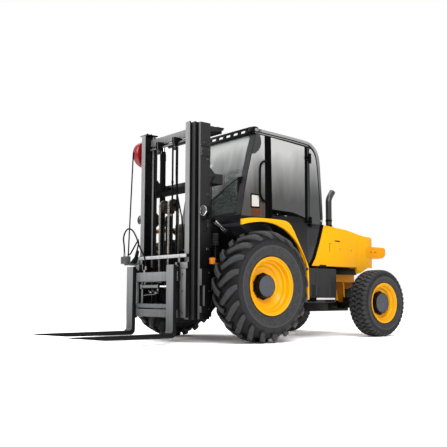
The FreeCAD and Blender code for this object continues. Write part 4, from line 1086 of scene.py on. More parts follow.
# %% Lamps on the mast
lamps = Piece()
lamps.block((581, 609), (541, 660), (1331, 1341), 2.5)
lamps.plate(traced("590,1332 660,1332 660,1440 640,1478 610,1478 590,1440"), "X", 599, 609, 2)
lamps.turned(traced("0,0 0,40 18,44 26,56 56,58 56,50 30,50 30,0"), LAMP_CENTRE, "X", 48)
lamps.bolt((597, 625, 1380), "-X", 8, 7)
lamps.pipe(traced("622,622,1372 611,612,1320 599,600,1262 593,598,1228 601,598,1208 622,598,1200"
    " 648,600,1204"), 5, 10)
lamps.mirrored()
lamps.done("headlamp_bowls", "outer_mast", black, "black_paint", replaces=("headlamps",))
rims = Piece()
rims.turned(traced("50,50 50,58 57,58.5 60,55 60,51 57,50"), LAMP_CENTRE, "X", 48)
rims.mirrored()
rims.done("headlamp_rims", "outer_mast", chrome, "rod_chrome")
glass_front = Piece()
glass_front.turned(traced("52,50.5 57,44 60,26 61,0"), (609, 625, 1420), "X", 48)
glass_front.mirrored()
glass_front.done("headlamp_lenses", "outer_mast", lens, "rod_chrome")
print("lamp triangles:", triangles["headlamp_bowls"])

# %% [markdown]
# ## Hose reel
# A spring in the red drum keeps the hose to the carriage taut as the mast goes up. The drum is
# two pressed covers with a rim between them; the hose leaves over its forward edge.

# %% Reel and its bracket
reel = Piece()
reel.turned(traced("-47,0 -47,40 -43,46 -43,96 -46,104 -46,132 -40,148 -30,158 -24,160 -20,156 -8,150"
    " 8,150 20,156 24,160 30,158 40,148 46,132 46,0"), REEL_CENTRE, "Y", 96)
reel.done("reel_drum", "inner_mast", red, "red_paint", replaces=("hose_reel",), crease=30)
reel_mount = Piece()
reel_mount.plate(traced("580,2225 590,2195 620,2183 650,2195 660,2225 678,2438 562,2438"), "Y", -561,
    -552, 2)
reel_mount.block((561, 728), (-561, -412), (2427, 2439), 3)
reel_mount.block((628, 727), (-444, -412), (2419, 2427), 2)
reel_mount.turned(traced("0,0 0,30 9,30 12,26 12,0"), (620, -652, 2225), "-Y", 32)
for x in (650, 705):
    reel_mount.bolt((x, -428, 2439), "Z", 9, 8)
for dx, dz in circle(1, 4, 0.5):
    reel_mount.bolt((620 + 30 * dx, -552, 2225 + 22 * dz), "Y", 7, 6)
reel_mount.done("reel_bracket", "inner_mast", mast_paint, "black_paint")
for name, body, other, node, start, end in (
        ("reel_hose_upper_run", "inner_mast", "lift_head", "reel_hose_upper", (788.6, -608, 2232.7),
         (817.3, -599, 1602.1)),
        ("reel_hose_lower_run", "lift_head", "fork_carriage", "reel_hose_lower", (817.3, -599, 1602.1),
         (846, -590, 971.6))):
    first, last = Vector(start), Vector(end)
    run = Piece()
    run.pipe([first.lerp(last, k / 12) for k in range(13)], 8, 14)
    run.done(name, body, hose_rubber, "hose_rubber", replaces=(node,), blend=(other, start, end), crease=60)
print("reel triangles:", triangles["reel_drum"])

# %% [markdown]
# ## Carriage
# Two forged bars carry the forks. They are welded to side plates with rollers that run in the
# inner rails. A thin bar above them guides the hoses, and a cylinder between them shifts the
# forks sideways.

# %% Bars, plates and rollers
frame_bars = Piece()
frame_bars.block((842, 885), (-470, 470), (666, 769), 4)
frame_bars.block((842, 885), (-470, 470), (276, 361), 4)
frame_bars.block((836, 869), (-399, 399), (373, 419), 3)
for y in range(-450, 451, 50):
    frame_bars.block((846, 872), (y - 7, y + 7), (769, 774), 1.2, 1)
frame_bars.done("carriage_bars", "fork_carriage", fork_paint, "black_paint", replaces=("carriage",))
plates = Piece()
side_plate = traced("662,277 838,277 838,868 790,868 740,820 662,820")
plates.plate(side_plate, "Y", 359, 393, 3)
plates.block((757, 798), (359, 499), (276, 799), 3)
plates.block((757, 798), (341, 529), (800, 869), 3)
plates.block((757, 798), (359, 393), (866, 929), 3)
plates.block((736, 842), (69, 107), (671, 729), 3)
plates.rod((741, 88, 700), (741, 88, 742), 9, 16)
plates.bolt((741, 88, 670), "-Z", 10, 9)
weld(plates, (839, 396, 660), (839, 396, 775))
weld(plates, (839, 356, 275), (839, 356, 362))
for z in (430, 810):
    plates.turned(traced("0,12 0,46 4,48 35,48 38,44 38,12 0,12"), (678, 393.5, z), "Y", 40)
    plates.rod((678, 380, z), (678, 432, z), 13, 20)
for z in (330, 560, 740):
    plates.bolt((798, 440, z), "X", 11, 9)
plates.block((798, 835), (372, 390), (430, 470), 2)
plates.block((798, 835), (372, 390), (590, 625), 2)
plates.mirrored()
plates.plate(traced("757,922 792,922 792,958 757,958"), "Y", -500, 500, 3)
plates.block((843, 884), (-199, -161), (764, 799), 3)
plates.turned(traced("0,0 0,14 4,16 14,16 14,0"), (862, -180, 786), "Z", 20)
plates.done("carriage_plates", "fork_carriage", mast_paint, "black_paint")
thin_bar = Piece()
thin_bar.block((785, 793), (-499, 499), (921, 959), 2)
for y in (-480, -370, 370, 480):
    thin_bar.bolt((790.6, y, 940), "X", 7, 4, False)
thin_bar.done("carriage_top_bar_face", "fork_carriage", bar_paint, "black_paint")
print("carriage triangles:", triangles["carriage_plates"])

# %% Side shift cylinder
shift = Piece()
shift.rod((852, -250, 612), (852, 90, 612), 23, 32)
shift.turned(traced("0,23 0,27 26,27 26,23"), (852, -250, 612), "Y", 32)
shift.turned(traced("0,23 0,27 26,27 26,23"), (852, 64, 612), "Y", 32)
shift.block((838, 866), (-290, -254), (584, 640), 4)
shift.block((832, 850), (-290, -254), (420, 668), 3)
shift.block((832, 850), (318, 352), (420, 668), 3)
shift.pipe(traced("852,-210,630 858,-206,652 862,-160,664 856,20,664 846,120,655"), 6, 10)
shift.pipe(traced("852,60,590 856,76,566 850,60,540 840,-60,520 838,-180,520 838,-300,500"), 6, 10)
for x, y, z in traced("852,-206,634 852,60,588 852,-30,560 848,-120,560"):
    shift.turned(traced("-12,0 -12,9 12,9 12,0"), (x, y, z), "Z", 6)
shift.done("side_shift_cylinder", "fork_carriage", fork_paint, "black_paint")
shift_rod = Piece()
shift_rod.rod((852, 88, 612), (852, 330, 612), 13, 28)
shift_rod.done("side_shift_rod", "fork_carriage", chrome, "rod_chrome")
fittings = Piece()
for x, y, z in traced("852,-206,650 852,60,574 850,-90,548 850,10,544"):
    fittings.turned(traced("-9,0 -9,10 9,10 9,0"), (x, y, z), "Z", 6)
    fittings.turned(traced("-5,0 -5,13 5,13 5,0"), (x, y, z), "Z", 16)
fittings.done("side_shift_fittings", "fork_carriage", zinc, "steel")
print("side shift triangles:", triangles["side_shift_cylinder"])

# %% Hose block
manifold = Piece()
manifold.block((835, 889), (-689, -551), (881, 969), 4)
manifold.block((776, 882), (-619, -481), (862.5, 880.5), 2)
for y in (-665, -575):
    for z in (902, 948):
        manifold.bolt((889, y, z), "X", 8, 4, False)
manifold.done("hose_block", "fork_carriage", fork_grey, "black_paint")
ports = Piece()
for x, y, radius in ((862, -650, 14), (846, -590, 13)):
    ports.turned([(-2, 0), (-2, radius), (9, radius), (9, 0)], (x, y, 971), "Z", 6)
ports.done("hose_block_ports", "fork_carriage", zinc, "steel", crease=25)
clip = Piece()
clip.pipe(traced("838,-606,985 834,-560,1000 820,-520,1060 800,-480,1130 784,-470,1170 776,-474,1120"
    " 782,-500,1040 790,-520,975 792,-520,940"), 9, 10)
clip.plate(traced("-612,880 -470,880 -420,1020 -440,1040 -520,960 -612,900"), "X", 800, 806, 1.5)
clip.done("hose_guide", "fork_carriage", hose_rubber, "hose_rubber")
print("hose block triangles:", triangles["hose_block"])

# %% [markdown]
# ## Forks
# A fork is one forged bar, bent at the heel and drawn to a thin tip. It hooks over the top bar
# and is held by a spring latch. Both are one outline drawn across the fork's width.

# %% Forged forks
FORK_FACE, FORK_BACK, FORK_TIP = 936, 891, 2086
heel = [(FORK_FACE, 170)] + [(976 - 40 * math.cos(a), 150 - 40 * math.sin(a))
                             for a in [math.pi / 2 * k / 6 for k in range(7)]]
outer_heel = [(950 - 59 * math.cos(a), 124 - 59 * math.sin(a))
    for a in [math.pi / 2 * (6 - k) / 6 for k in range(7)]]
fork_line = [(FORK_BACK, 800), (FORK_BACK, 836), (FORK_FACE - 4, 839.5), (FORK_FACE, 834)] + heel
fork_line += [(FORK_TIP - 8, 110), (FORK_TIP, 107), (FORK_TIP, 102), (FORK_TIP - 350, 71),
    (1236, 65)] + outer_heel
forks = Piece()
forks.plate(fork_line, "Y", 336, 466, 5, 3)
forks.plate(traced("842,771 900,771 900,799 852,799 842,792"), "Y", 337, 465, 3)
forks.block((886, 900), (337, 465), (276, 769), 3)
forks.block((845, 880), (384, 420), (799, 818), 3)
forks.rod((862, 402, 800), (862, 402, 838), 11, 20)
forks.pipe(traced("862,402,832 862,418,838 862,440,834 862,452,822"), 5, 8)
forks.block((842, 890), (372, 430), (256, 275), 3)
forks.mirrored()
for v in forks.bm.verts:
    if v.co.x > FORK_TIP - 150:
        inward = (v.co.x - FORK_TIP + 150) / 150
        middle_y = 401 if v.co.y > 0 else -401
        v.co.y = middle_y + (v.co.y - middle_y) * (1 - 0.28 * inward ** 2)
forks.done("forks_forged", "fork_carriage", fork_paint, "black_paint", replaces=("forks",))
print("fork triangles:", triangles["forks_forged"])

# %% [markdown]
# ## Slack hose on the carriage
# Oil for the side shift comes from the hose block through one slack hose that stands up in a
# loop and falls to the carriage. It is a smooth curve through the points of its route, and it
# comes out close to the length that the frame gives for this hose.

# %% The loop of hose
LOOP_X = 862
LOOP_ROUTE = traced("-650,970 -650,1080 -690,1200 -610,1300 -490,1290 -390,1190 -310,1050 -180,930"
    " -180,800")


def route_curve(name, points, radius):
    curve = bpy.data.curves.new(name, "CURVE")
    curve.dimensions = "3D"
    line = curve.splines.new("NURBS")
    line.points.add(len(points) - 1)
    for spot, place in zip(line.points, points):
        spot.co = (*place, 1)
    line.order_u = 3
    line.use_endpoint_u = True
    line.resolution_u = 12
    curve.bevel_depth = radius
    curve.bevel_resolution = 4
    curve.use_fill_caps = True
    return into_scene(name, curve)


loop = route_curve("carriage_hose_loop", [at(LOOP_X, y, z) for y, z in LOOP_ROUTE], 0.009)
loop.data.materials.append(hose_rubber)
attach(loop, "fork_carriage")
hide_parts("carriage_hose")
ends = Piece()
for y, z, turn in ((-650, 972, 1), (-180, 799, 1)):
    ends.turned(traced("0,9 0,13 8,13 10,11.5 40,11.5 42,9"), (862, y, z), "Z", 20)
end_caps = ends.done("carriage_hose_ends", "fork_carriage", zinc, "steel", crease=25)
at(LOOP_X, -650, 970)
print("hose route points:", len(LOOP_ROUTE))

# %% [markdown]
# ## Tilt cylinders
# Two cylinders between the chassis and the mast rock it forwards and back. The barrel carries an
# eye on the chassis pin, and the bright rod ends in a forged eye on the mast.

# %% Barrels and rods of the tilt cylinders
TILT_BASE, TILT_EYE = Vector((-300, 450, 860)), Vector((470, 450, 1420))
tilt_along = (TILT_EYE - TILT_BASE).normalized()
tilt_barrels = Piece()
tilt_barrels.turned(traced("25,0 25,38 27,40 560,40 564,43 636,43 644,40 650,38 650,24 78,24 78,0"),
    TILT_BASE, tilt_along, 40)
tilt_barrels.turned(traced("-26,20.5 -26,34 -24,36 24,36 26,34 26,20.5 -26,20.5"), TILT_BASE, "Y", 36)
port_side = Vector((-tilt_along.z, 0, tilt_along.x))
for reach in (60, 600):
    foot = TILT_BASE + tilt_along * reach + port_side * 36
    tilt_barrels.rod(foot, foot + port_side * 16, 11, 14)
tilt_barrels.mirrored()
tilt_barrels.done("tilt_barrels_turned", "tilt_barrels", dark_paint, "black_paint",
                  replaces=("tilt_cylinder_barrels",), crease=30)
tilt_rods = Piece()
rod_length = (TILT_EYE - TILT_BASE).length
tilt_rods.turned([(222, 0), (222, 22), (rod_length - 50, 22), (rod_length - 48, 24), (rod_length - 30, 24),
                  (rod_length - 30, 0)], TILT_BASE, tilt_along, 36)
tilt_rods.turned(traced("-24,23.2 -24,34 -22,36 22,36 24,34 24,23.2 -24,23.2"), TILT_EYE, "Y", 36)
tilt_rods.mirrored()
rod_guard = Piece()
rod_guard.turned(traced("828,22.5 828,26 832,28 910,28 914,26 914,22.5"), TILT_BASE, tilt_along, 32)
rod_guard.mirrored()
rod_guard.done("tilt_rod_guards", "tilt_rods", black, "black_paint", crease=30)
tilt_rods.done("tilt_rods_chromed", "tilt_rods", chrome, "rod_chrome", replaces=("tilt_cylinder_rods",),
    crease=30)
print("tilt cylinder triangles:", triangles["tilt_barrels_turned"])

# %% [markdown]
# ## Fenders
# A fender over each front wheel is one steel sheet with a deep rolled lip on its outer edge. The
# lip's lower edge is a smooth arch, so it is drawn through its points as a curve and not as
# straight runs.


# %% A smooth line through points
def smooth_line(points, steps):
    """Points of a Catmull-Rom curve through the given points."""
    ends = [tuple(2 * a - b for a, b in zip(points[0], points[1]))]
    ends += list(points) + [tuple(2 * a - b for a, b in zip(points[-1], points[-2]))]
    line = []
    for p0, p1, p2, p3 in zip(ends, ends[1:], ends[2:], ends[3:]):
        for k in range(steps):
            t = k / steps
            line.append(tuple(0.5 * (2 * b + (c - a) * t + (2 * a - 5 * b + 4 * c - d) * t * t
                                     + (3 * b - a - 3 * c + d) * t ** 3)
                              for a, b, c, d in zip(p0, p1, p2, p3)))
    return line + [points[-1]]


def rounded(points, radius, steps=5):
    """The outline with each corner rounded to about this radius."""
    result = []
    count = len(points)
    for i in range(count):
        corner = Vector((*points[i], 0))
        before, after = Vector((*points[i - 1], 0)), Vector((*points[(i + 1) % count], 0))
        back, ahead = (before - corner), (after - corner)
        reach = min(radius, back.length * 0.45, ahead.length * 0.45)
        start, end = corner + back.normalized() * reach, corner + ahead.normalized() * reach
        for k in range(steps + 1):
            t = k / steps
            spot = start * (1 - t) ** 2 + corner * 2 * t * (1 - t) + end * t ** 2
            result.append((spot.x, spot.y))
    return result


print("curve helpers ready")

# %% Fenders
def inner_edge(x, least):
    """How near to the middle a fender reaches: it widens inwards behind its front end."""
    return max(least, 868 - max(0, (346 - x)) * 1.1)


TOP_EDGE = smooth_line(traced("346,1327 296,1341 220,1352 90,1361 -60,1362 -240,1360 -335,1348"
    " -392,1310"), 3)
TOP_EDGE += smooth_line(traced("-440,1247 -530,1100 -620,948 -668,858 -679,760 -681,470"), 4)
LIP_EDGE = smooth_line(traced("350,1270 240,1297 70,1321 -60,1318 -180,1297 -330,1239 -470,1132 -585,988"
    " -640,880 -652,780 -652,470"), 4)
for name, side in SIDES:
    fender = Piece()
    fender.plate(TOP_EDGE + LIP_EDGE[::-1], "Y", *span(side, 869, 899), 3.5)
    under = [(x + 13 * (1 if x < -300 else 0), z - 13) for x, z in TOP_EDGE]
    for first, second, a, b in zip(TOP_EDGE, TOP_EDGE[1:], under, under[1:]):
        reach = [inner_edge(x, 586) for x in (first[0], second[0])]
        corners = [(first, reach[0]), (first, 872), (second, 872), (second, reach[1])]
        beneath = [(a, reach[0]), (a, 872), (b, 872), (b, reach[1])]
        fender.loft([[(p[0], side * y, p[1]) for p, y in row] for row in (corners, beneath)])
    fender.done("fender_" + name + "_pressed", "chassis", yellow, "yellow_paint",
        replaces=("fender_" + name,))
liners = Piece()
liner_line = [(x + (16 if x < -300 else 0), z - 17) for x, z in TOP_EDGE[:-3]]
for a, b in zip(liner_line, liner_line[1:]):
    reach = [inner_edge(p[0], 588) for p in (a, b)]
    upper = [liners.bm.verts.new(p) for p in ((a[0], reach[0], a[1]), (a[0], 868, a[1]), (b[0], 868, b[1]),
                                              (b[0], reach[1], b[1]))]
    liners.bm.faces.new(upper)
for z in (820, 630):
    liners.plate(rounded([(-640, z - 14), (-640, z + 14), (-662, z + 10), (-662, z - 10)], 4), "Y", 880,
        902, 1.5)
liners.mirrored()
liners.done("fender_liners", "chassis", seal_rubber, "black_plastic")
print("fender triangles:", triangles["fender_left_pressed"])

# %% [markdown]
# ## Bonnet, side panels and counterweight
# The side panels are large smooth sheets with a slot to lift them by, a faint pressed line and
# flush latches. The counterweight behind them is cast, so its edges are rounder. A dark gap shows
# where the two meet. Corners are rounded in the outline first and then along the edges.

# %% Side panels
PANEL_LINE = rounded(traced("-1932,882 -1976,1319 -1750,1361 -1304,1401 -1287,1376 -1216,1168 -1136,978"
    " -1068,882"), 22)
panels = Piece()
panels.plate(PANEL_LINE, "Y", 553, 569.5, 5, 3)
for (x0, z0), (x1, z1) in (((-2079, 1300), (-1750, 1361)), ((-1750, 1361), (-1304, 1401))):
    panels.plate([(x0, z0 - 16), (x0, z0), (x1, z1), (x1, z1 - 16)], "Y", 371, 560, 1.5)
panels.plate(traced("-1304,1385 -1304,1401 -1290,1378 -1218,1170 -1140,980 -1156,980 -1234,1170"
    " -1304,1370"), "Y", 371, 556, 1.5)
panels.mirrored()
panels.done("side_panels_pressed", "chassis", yellow, "yellow_paint", replaces=("side_panels",))
base_seal = Piece()
base_seal.plate(traced("-1250,1402 -1296,1402 -1289,1376 -1218,1168 -1138,978 -1070,884 -1016,884"
    " -1086,978 -1164,1168 -1230,1376"), "Y", 569.5, 574, 2)
base_seal.mirrored()
base_seal.done("panel_edge_seal", "chassis", deep_black, "black_plastic")
slots = Piece()
slots.plate(rounded(traced("-1500,1216 -1500,1204 -1590,1200 -1612,1208 -1590,1218"), 5), "Y", 568, 570.4,
    0.6, 1)
slots.plate(traced("-1400,1176 -1400,1170 -1432,1170 -1432,1176"), "Y", 568, 570.2, 0.4, 1)
slots.plate(traced("-1402,1174 -1408,1174 -1408,1068 -1402,1068"), "Y", 568, 570.2, 0.4, 1)
for x, z in ((-1600, 1110), (-1830, 1100)):
    slots.turned(traced("0,0 0,10 1,10 1,0"), (x, 569, z), "Y", 20)
slots.block((-1336, -1212), (552, 577), (864, 898), 5)
slots.mirrored()
slots.done("panel_slots", "chassis", black, "black_paint")
latches = Piece()
for x, z in ((-1272, 1092), (-1600, 1110), (-1830, 1100)):
    latches.turned(traced("0,0 0,8 2,8 3,6 3,0"), (x, 568, z), "Y", 20)
latches.mirrored()
latches.done("panel_latches", "chassis", zinc, "steel")
print("panel triangles:", triangles["side_panels_pressed"])

# %% Bonnet lid
lid = Piece()
LID_TOP = [(-2066, 1305), (-1750, 1362), (-1300, 1403)]
crowned = []
for (x0, z0), (x1, z1) in zip(LID_TOP, LID_TOP[1:]):
    crowned += [(x0 + (x1 - x0) * k / 6, z0 + (z1 - z0) * k / 6) for k in range(6)]
crowned.append(LID_TOP[-1])
lid.plate(crowned + [(x, z - 19) for x, z in crowned[::-1]], "Y", -364, 364, 4, 3)
for y in (-180, 180):
    lid.plate(traced("-1960,1322 -1760,1357 -1340,1396 -1340,1402 -1760,1365 -1960,1330"), "Y", y - 26, y
        + 26, 3)
for y in (230, -230):
    lid.rod((-2070, y - 30, 1316), (-2070, y + 30, 1316), 8, 20)
    lid.block((-2070, -2036), (y - 24, y + 24), (1303, 1314), 2)
lid.done("bonnet_lid_pressed", "bonnet_lid", yellow, "yellow_paint", replaces=("bonnet",))
grille = Piece()
for k in range(9):
    x = -1930 + 26 * k
    z = 1305 + (x + 2066) * 0.1804
    grille.plate([(x, z + 1.5), (x + 15, z + 4), (x + 15, z + 7.5), (x, z + 5)], "Y", -130, 130, 0.8, 1)
grille.done("bonnet_louvres", "bonnet_lid", black, "black_paint")
lid_handle = Piece()
lid_handle.pipe(traced("-1330,-60,1399 -1330,-58,1413 -1330,-48,1420 -1330,48,1420 -1330,58,1413"
    " -1330,60,1399"), 6, 10)
lid_handle.done("bonnet_handle", "bonnet_lid", black, "black_paint")
print("lid triangles:", triangles["bonnet_lid_pressed"])

# %% Counterweight
WEIGHT_SECTION = rounded(traced("-2090,882 -2090,1301 -2240,1294 -2306,1260 -2349,1188 -2349,962 -2330,902"
    " -2298,882"), 34, 6)
PLAN_X = traced("-2090,569 -2190,569 -2250,556 -2290,534 -2320,492 -2336,450 -2344,380 -2349,290")


def plan_limit(y):
    """How far back the casting reaches at this distance from its middle."""
    for (x0, y0), (x1, y1) in zip(PLAN_X[::-1], PLAN_X[::-1][1:]):
        if y0 <= abs(y) <= y1:
            return x0 + (x1 - x0) * (abs(y) - y0) / max(1, y1 - y0)
    return -2349 if abs(y) < 290 else -2190


steps_y = [-569.5, -566, -556, -545, -534, -515, -492, -470, -450, -415, -380, -335, -290, -200, -100]
steps_y = steps_y + [0] + [-y for y in steps_y[::-1]]
sections = []
for y in steps_y:
    ease = 4 if abs(y) > 568 else (1.5 if abs(y) > 565 else 0)
    limit = plan_limit(y)
    ring = []
    for x, z in WEIGHT_SECTION:
        high = min(max(z, 882 + ease), 1301 - ease)
        ring.append((max(x, limit + ease), y, high if z > 900 else max(z, 882 + ease)))
    sections.append(ring)
weight = Piece()
weight.loft(sections)
bmesh.ops.remove_doubles(weight.bm, verts=weight.bm.verts[:], dist=0.05)
bmesh.ops.recalc_face_normals(weight.bm, faces=weight.bm.faces[:])
GUARD_LINE = rounded(traced("-2112,1011 -2112,1169 -2543,1169 -2543,1052 -2470,1016 -2360,1011"), 46)
guards = Piece()
guards.plate(GUARD_LINE, "Y", 422, 571.5, 12, 4)
guards.mirrored()
guards.done("counterweight_guards", "chassis", guard_yellow_shaded, "yellow_paint")
jaw = Piece()
for low, high in ((966, 991), (1034, 1059)):
    jaw.plate(rounded(traced("-2330,-69 -2389,-69 -2389,69 -2330,69"), 24), "Z", low, high, 3)
jaw.plate(traced("-2340,-69 -2352,-69 -2352,69 -2340,69"), "Z", 966, 1059, 3)
jaw.rod((-2382, 0, 955), (-2382, 0, 1076), 12, 24)
jaw.turned(traced("0,12 0,20 7,20 9,12"), (-2382, 0, 1060), "Z", 24)
jaw.pipe(traced("-2382,0,1074 -2382,-16,1092 -2382,0,1106 -2382,16,1092 -2382,0,1074"), 3.5, 8)
jaw.done("tow_jaw_pin", "chassis", black, "black_paint")
for y in (230, -230):
    for edge in (47, -47):
        low, high = y + edge - 14, y + edge + 14
        weight.rod((-2070, low, 1316), (-2070, high, 1316), 8, 20)
        weight.block((-2110, -2072), (low, high), (1296, 1314), 2)
CHEEK_LIP = rounded(traced("-1938,900 -1938,870 -1952,806 -1972,802 -2030,820 -2110,858 -2160,884"
    " -2160,900"), 8)
cheeks = Piece()
cheeks.plate(CHEEK_LIP, "Y", 528, 568, 3)
cheeks.plate(rounded(traced("-1936,882 -2186,882 -2186,1295 -2100,1299 -1981,1318"), 10), "Y", 553, 570.2,
    4, 3)
cheeks.mirrored()
cheeks.done("counterweight_cheeks", "chassis", yellow, "yellow_paint")
weight.done("counterweight_cast", "chassis", yellow, "yellow_paint", replaces=("counterweight",), crease=40)
print("counterweight triangles:", triangles["counterweight_cast"])

# %% Rear lamps, grille and bolts
rear_bits = Piece()
for y in (445, 530):
    for z in (1058, 1122):
        rear_bits.bolt((-2540.5, y if y < 500 else 515, z), "-X", 9, 8)
for x in (-2225, -2310):
    rear_bits.bolt((x, 571.5, 1098), "Y", 9, 4, False)
for z in range(1092, 1263, 22):
    rear_bits.block((-2352, -2340), (-200, 200), (z, z + 8), 2)
rear_bits.block((-2351, -2346), (-215, 215), (1080, 1272), 2)
rear_bits.mirrored()
rear_bits.done("rear_grille_and_bolts", "chassis", black, "black_paint")
tail = Piece()
for y in (330, -400):
    tail.block((-2362, -2336), (y, y + 70), (1190, 1250), 5, 3)
tail.done("tail_lamps", "chassis", red_lens, "red_paint")
signal = Piece()
for y in (330, -400):
    signal.block((-2360, -2336), (y, y + 70), (1122, 1182), 5, 3)
signal.done("rear_indicators", "chassis", amber, "red_paint")
print("rear triangles:", triangles["rear_grille_and_bolts"])

# %% [markdown]
# ## Exhaust
# The stack is a bright black tube, bent back at the top and cut square, and it is hollow, because
# the open end is seen from behind. A band clamps it to a collar on the panel.

# %% Exhaust stack
stack = Piece()
bend = smooth_line(traced("-1530,450,1235 -1530,450,1500 -1530,450,1700 -1534,450,1750 -1552,450,1793"
    " -1582,450,1833 -1608,450,1866"), 6)
stack.pipe(bend, 39, 40, hollow=4)
stack.done("exhaust_pipe", "chassis", stack_paint, "black_paint", replaces=("exhaust_stack",), crease=50)
collar = Piece()
collar.turned(traced("0,40 0,62 6,66 16,66 20,62 20,46 44,44 44,40 0,40"), (-1530, 450, 1378), "Z", 48)
collar.turned(traced("0,39 0,43 22,43 22,39"), (-1530, 450, 1470), "Z", 48)
collar.block((-1496, -1476), (443, 457), (1474, 1488), 2)
collar.bolt((-1486, 457, 1481), "Y", 6, 5)
collar.done("exhaust_collar", "chassis", black, "black_paint", crease=30)
print("exhaust triangles:", triangles["exhaust_pipe"])

# %% [markdown]
# ## Tanks and steps
# The fuel tank hangs on the left of the frame and the oil tank on the right, with a folding
# ladder's lowest step below each. The tanks are folded and welded from plate, so their edges have
# a clear radius and their ends a seam.

# %% Tanks
for name, side, node in (("fuel", 1, "fuel_tank"), ("oil", -1, "hydraulic_tank")):
    tank = Piece()
    tank.plate(rounded(traced("-1011,440 -1011,849 -1494,849 -1494,470 -1465,431 -1030,431"), 26), "Y",
        *span(side, 336, 599), 7, 3)
    tank.plate(rounded(traced("-1009.5,438 -1009.5,850.5 -1495.5,850.5 -1495.5,469 -1466,429.5"
        " -1029,429.5"), 26), "Y", *span(side, 570, 576), 1.2, 1)
    for x in (-1130, -1380):
        tank.plate([(x - 22, 429), (x - 22, 851), (x + 22, 851), (x + 22, 429)], "Y",
            *span(side, 340, 601.5), 2)
    tank.turned(traced("0,0 0,42 6,46 28,46 34,40 34,0"), (-1240, side * 470, 849), "Z", 36)
    tank.done(name + "_tank_welded", "chassis", tank_paint, "charcoal_paint", replaces=(node,))
blank_plate = Piece()
blank_plate.plate(rounded(traced("-1030,660 -1165,620 -1165,545 -1040,500"), 12), "Y", 599, 601, 0.8, 1)
blank_plate.done("tank_blank_plate", "chassis", charcoal, "charcoal_paint")
treads = Piece()
treads.plate(rounded(traced("-1330,602 -990,602 -990,720 -1330,720"), 14), "Z", 463, 485, 3)
for x in range(-1312, -1000, 26):
    treads.block((x, x + 12), (612, 710), (485, 489.5), 1.5, 1)
for x in (-1320, -1020):
    treads.block((x, x + 20), (600.8, 700), (441, 464), 2)
    treads.bolt((x + 10, 640, 441), "-Z", 8, 6)
treads.mirrored()
treads.done("step_treads", "chassis", black, "black_paint", replaces=("steps",))
edges = Piece()
edges.block((-1326, -994), (716, 722), (465, 488), 2)
edges.mirrored()
edges.done("step_edges", "chassis", white_paint, "steel")
print("tank triangles:", triangles["fuel_tank_welded"])

# %% [markdown]
# ## Cab shell
# The cab is folded and welded from steel tube and plate. Its shape comes from the frame, so a
# copy of that shape gets its edges rounded by a bevel, which catches the light as pressed steel
# does. The front of the roof is an open guard of slanted bars, so the sheet between the two
# front rails is cut away first.

# %% Shell, base and door
softened("cab_frame", "cab_frame_rounded", "chassis", cab_paint, "charcoal_paint", 4.0,
         holes=[((-260, -60), (-440, 440), (2340, 2500))])
softened("cab_base", "cab_base_rounded", "chassis", base_paint, "charcoal_paint", 5.0)
softened("door_left", "door_left_rounded", "door", cab_paint, "charcoal_paint", 4.0)
softened("cab_roof", "cab_roof_rounded", "chassis", cab_paint, "charcoal_paint", 4.0,
         holes=[((-260, -100), (-440, 440), (2300, 2510)), ((-255, -175), (-550, 550), (2468, 2510))])
print("cab triangles:", triangles["cab_frame_rounded"], triangles["door_left_rounded"])

# %% Roof guard
guard = Piece()
guard.block((-152, -134), (-500, 500), (2466, 2494), 3)
guard.block((-150, -134), (-445, 445), (2416, 2438), 3)
guard.block((-168, -142), (-487, 487), (2408, 2426), 3)
for y in range(-417, 418, 139):
    guard.plate([(y - 34, 2434), (y + 26, 2434), (y + 40, 2470), (y - 20, 2470)], "X", -149, -138, 2)
for y in range(-412, 413, 75):
    guard.plate(traced("-650,2436 -150,2436 -150,2424 -650,2424"), "Y", y - 8, y + 8, 2)
for side in (1, -1):
    guard.plate(traced("-104,2425 -104,2464 -128,2487 -186,2487 -206,2462 -206,2440"), "Y",
        *span(side, 484, 562), 4)
guard.done("roof_guard", "chassis", dark_paint, "black_paint")
print("guard triangles:", triangles["roof_guard"])

# %% [markdown]
# ## Roof moulding
# A rolled moulding runs along the roof, round the rear corner and down behind the glass; a
# painted highlight makes it pale along the roof.
# Its two edges are smooth curves. The strip between them is two sheets joined by a web at every
# step, and it is open along its thin rims. The cap behind it closes the corner across the cab. A
# dark gutter and a second, thinner strip lie under it, swept along the same line.

# %% Roof moulding and cap
BAND_OUTER = smooth_line(traced("-140,2464 -380,2457 -590,2450 -820,2441 -1000,2429 -1065,2415 -1112,2391"
    " -1154,2360 -1188,2321 -1212,2270 -1226,2215 -1238,2110 -1246,1990 -1261,1790 -1271,1620"
    " -1279,1470"), 4)
BAND_INNER = smooth_line(traced("-140,2430 -380,2424 -590,2418 -820,2408 -1000,2395 -1048,2384 -1090,2362"
    " -1126,2330 -1152,2291 -1170,2246 -1181,2200 -1194,2100 -1204,1990 -1221,1790 -1232,1620"
    " -1240,1470"), 4)
band = Piece()
for (a, b), (c, d) in zip(zip(BAND_OUTER, BAND_INNER), zip(BAND_OUTER[1:], BAND_INNER[1:])):
    band.plate([a, c, d, b], "Y", 560, 576, 0)
bmesh.ops.remove_doubles(band.bm, verts=band.bm.verts[:], dist=0.01)
rims = [f for f in band.bm.faces if sum(len(e.link_faces) > 2 for e in f.edges) == 2
        and len({round(v.co.y) for v in f.verts}) == 2
        and all(len(e.link_faces) > 2 for e in f.edges if e.verts[0].co.y != e.verts[1].co.y)]
bmesh.ops.delete(band.bm, geom=rims, context="FACES")
bmesh.ops.recalc_face_normals(band.bm, faces=band.bm.faces[:])
band.soften(band.bm.faces[:], 4, 3, 60)
band.mirrored()
band.done("roof_moulding", "chassis", edge_trim, "charcoal_paint", crease=50)
CORNER = [p for p in BAND_OUTER if p[0] < -995 and p[1] > 2195]
CORNER_UNDER = [(p[0] + 9, p[1] - 7) for p in CORNER]
cap = Piece()
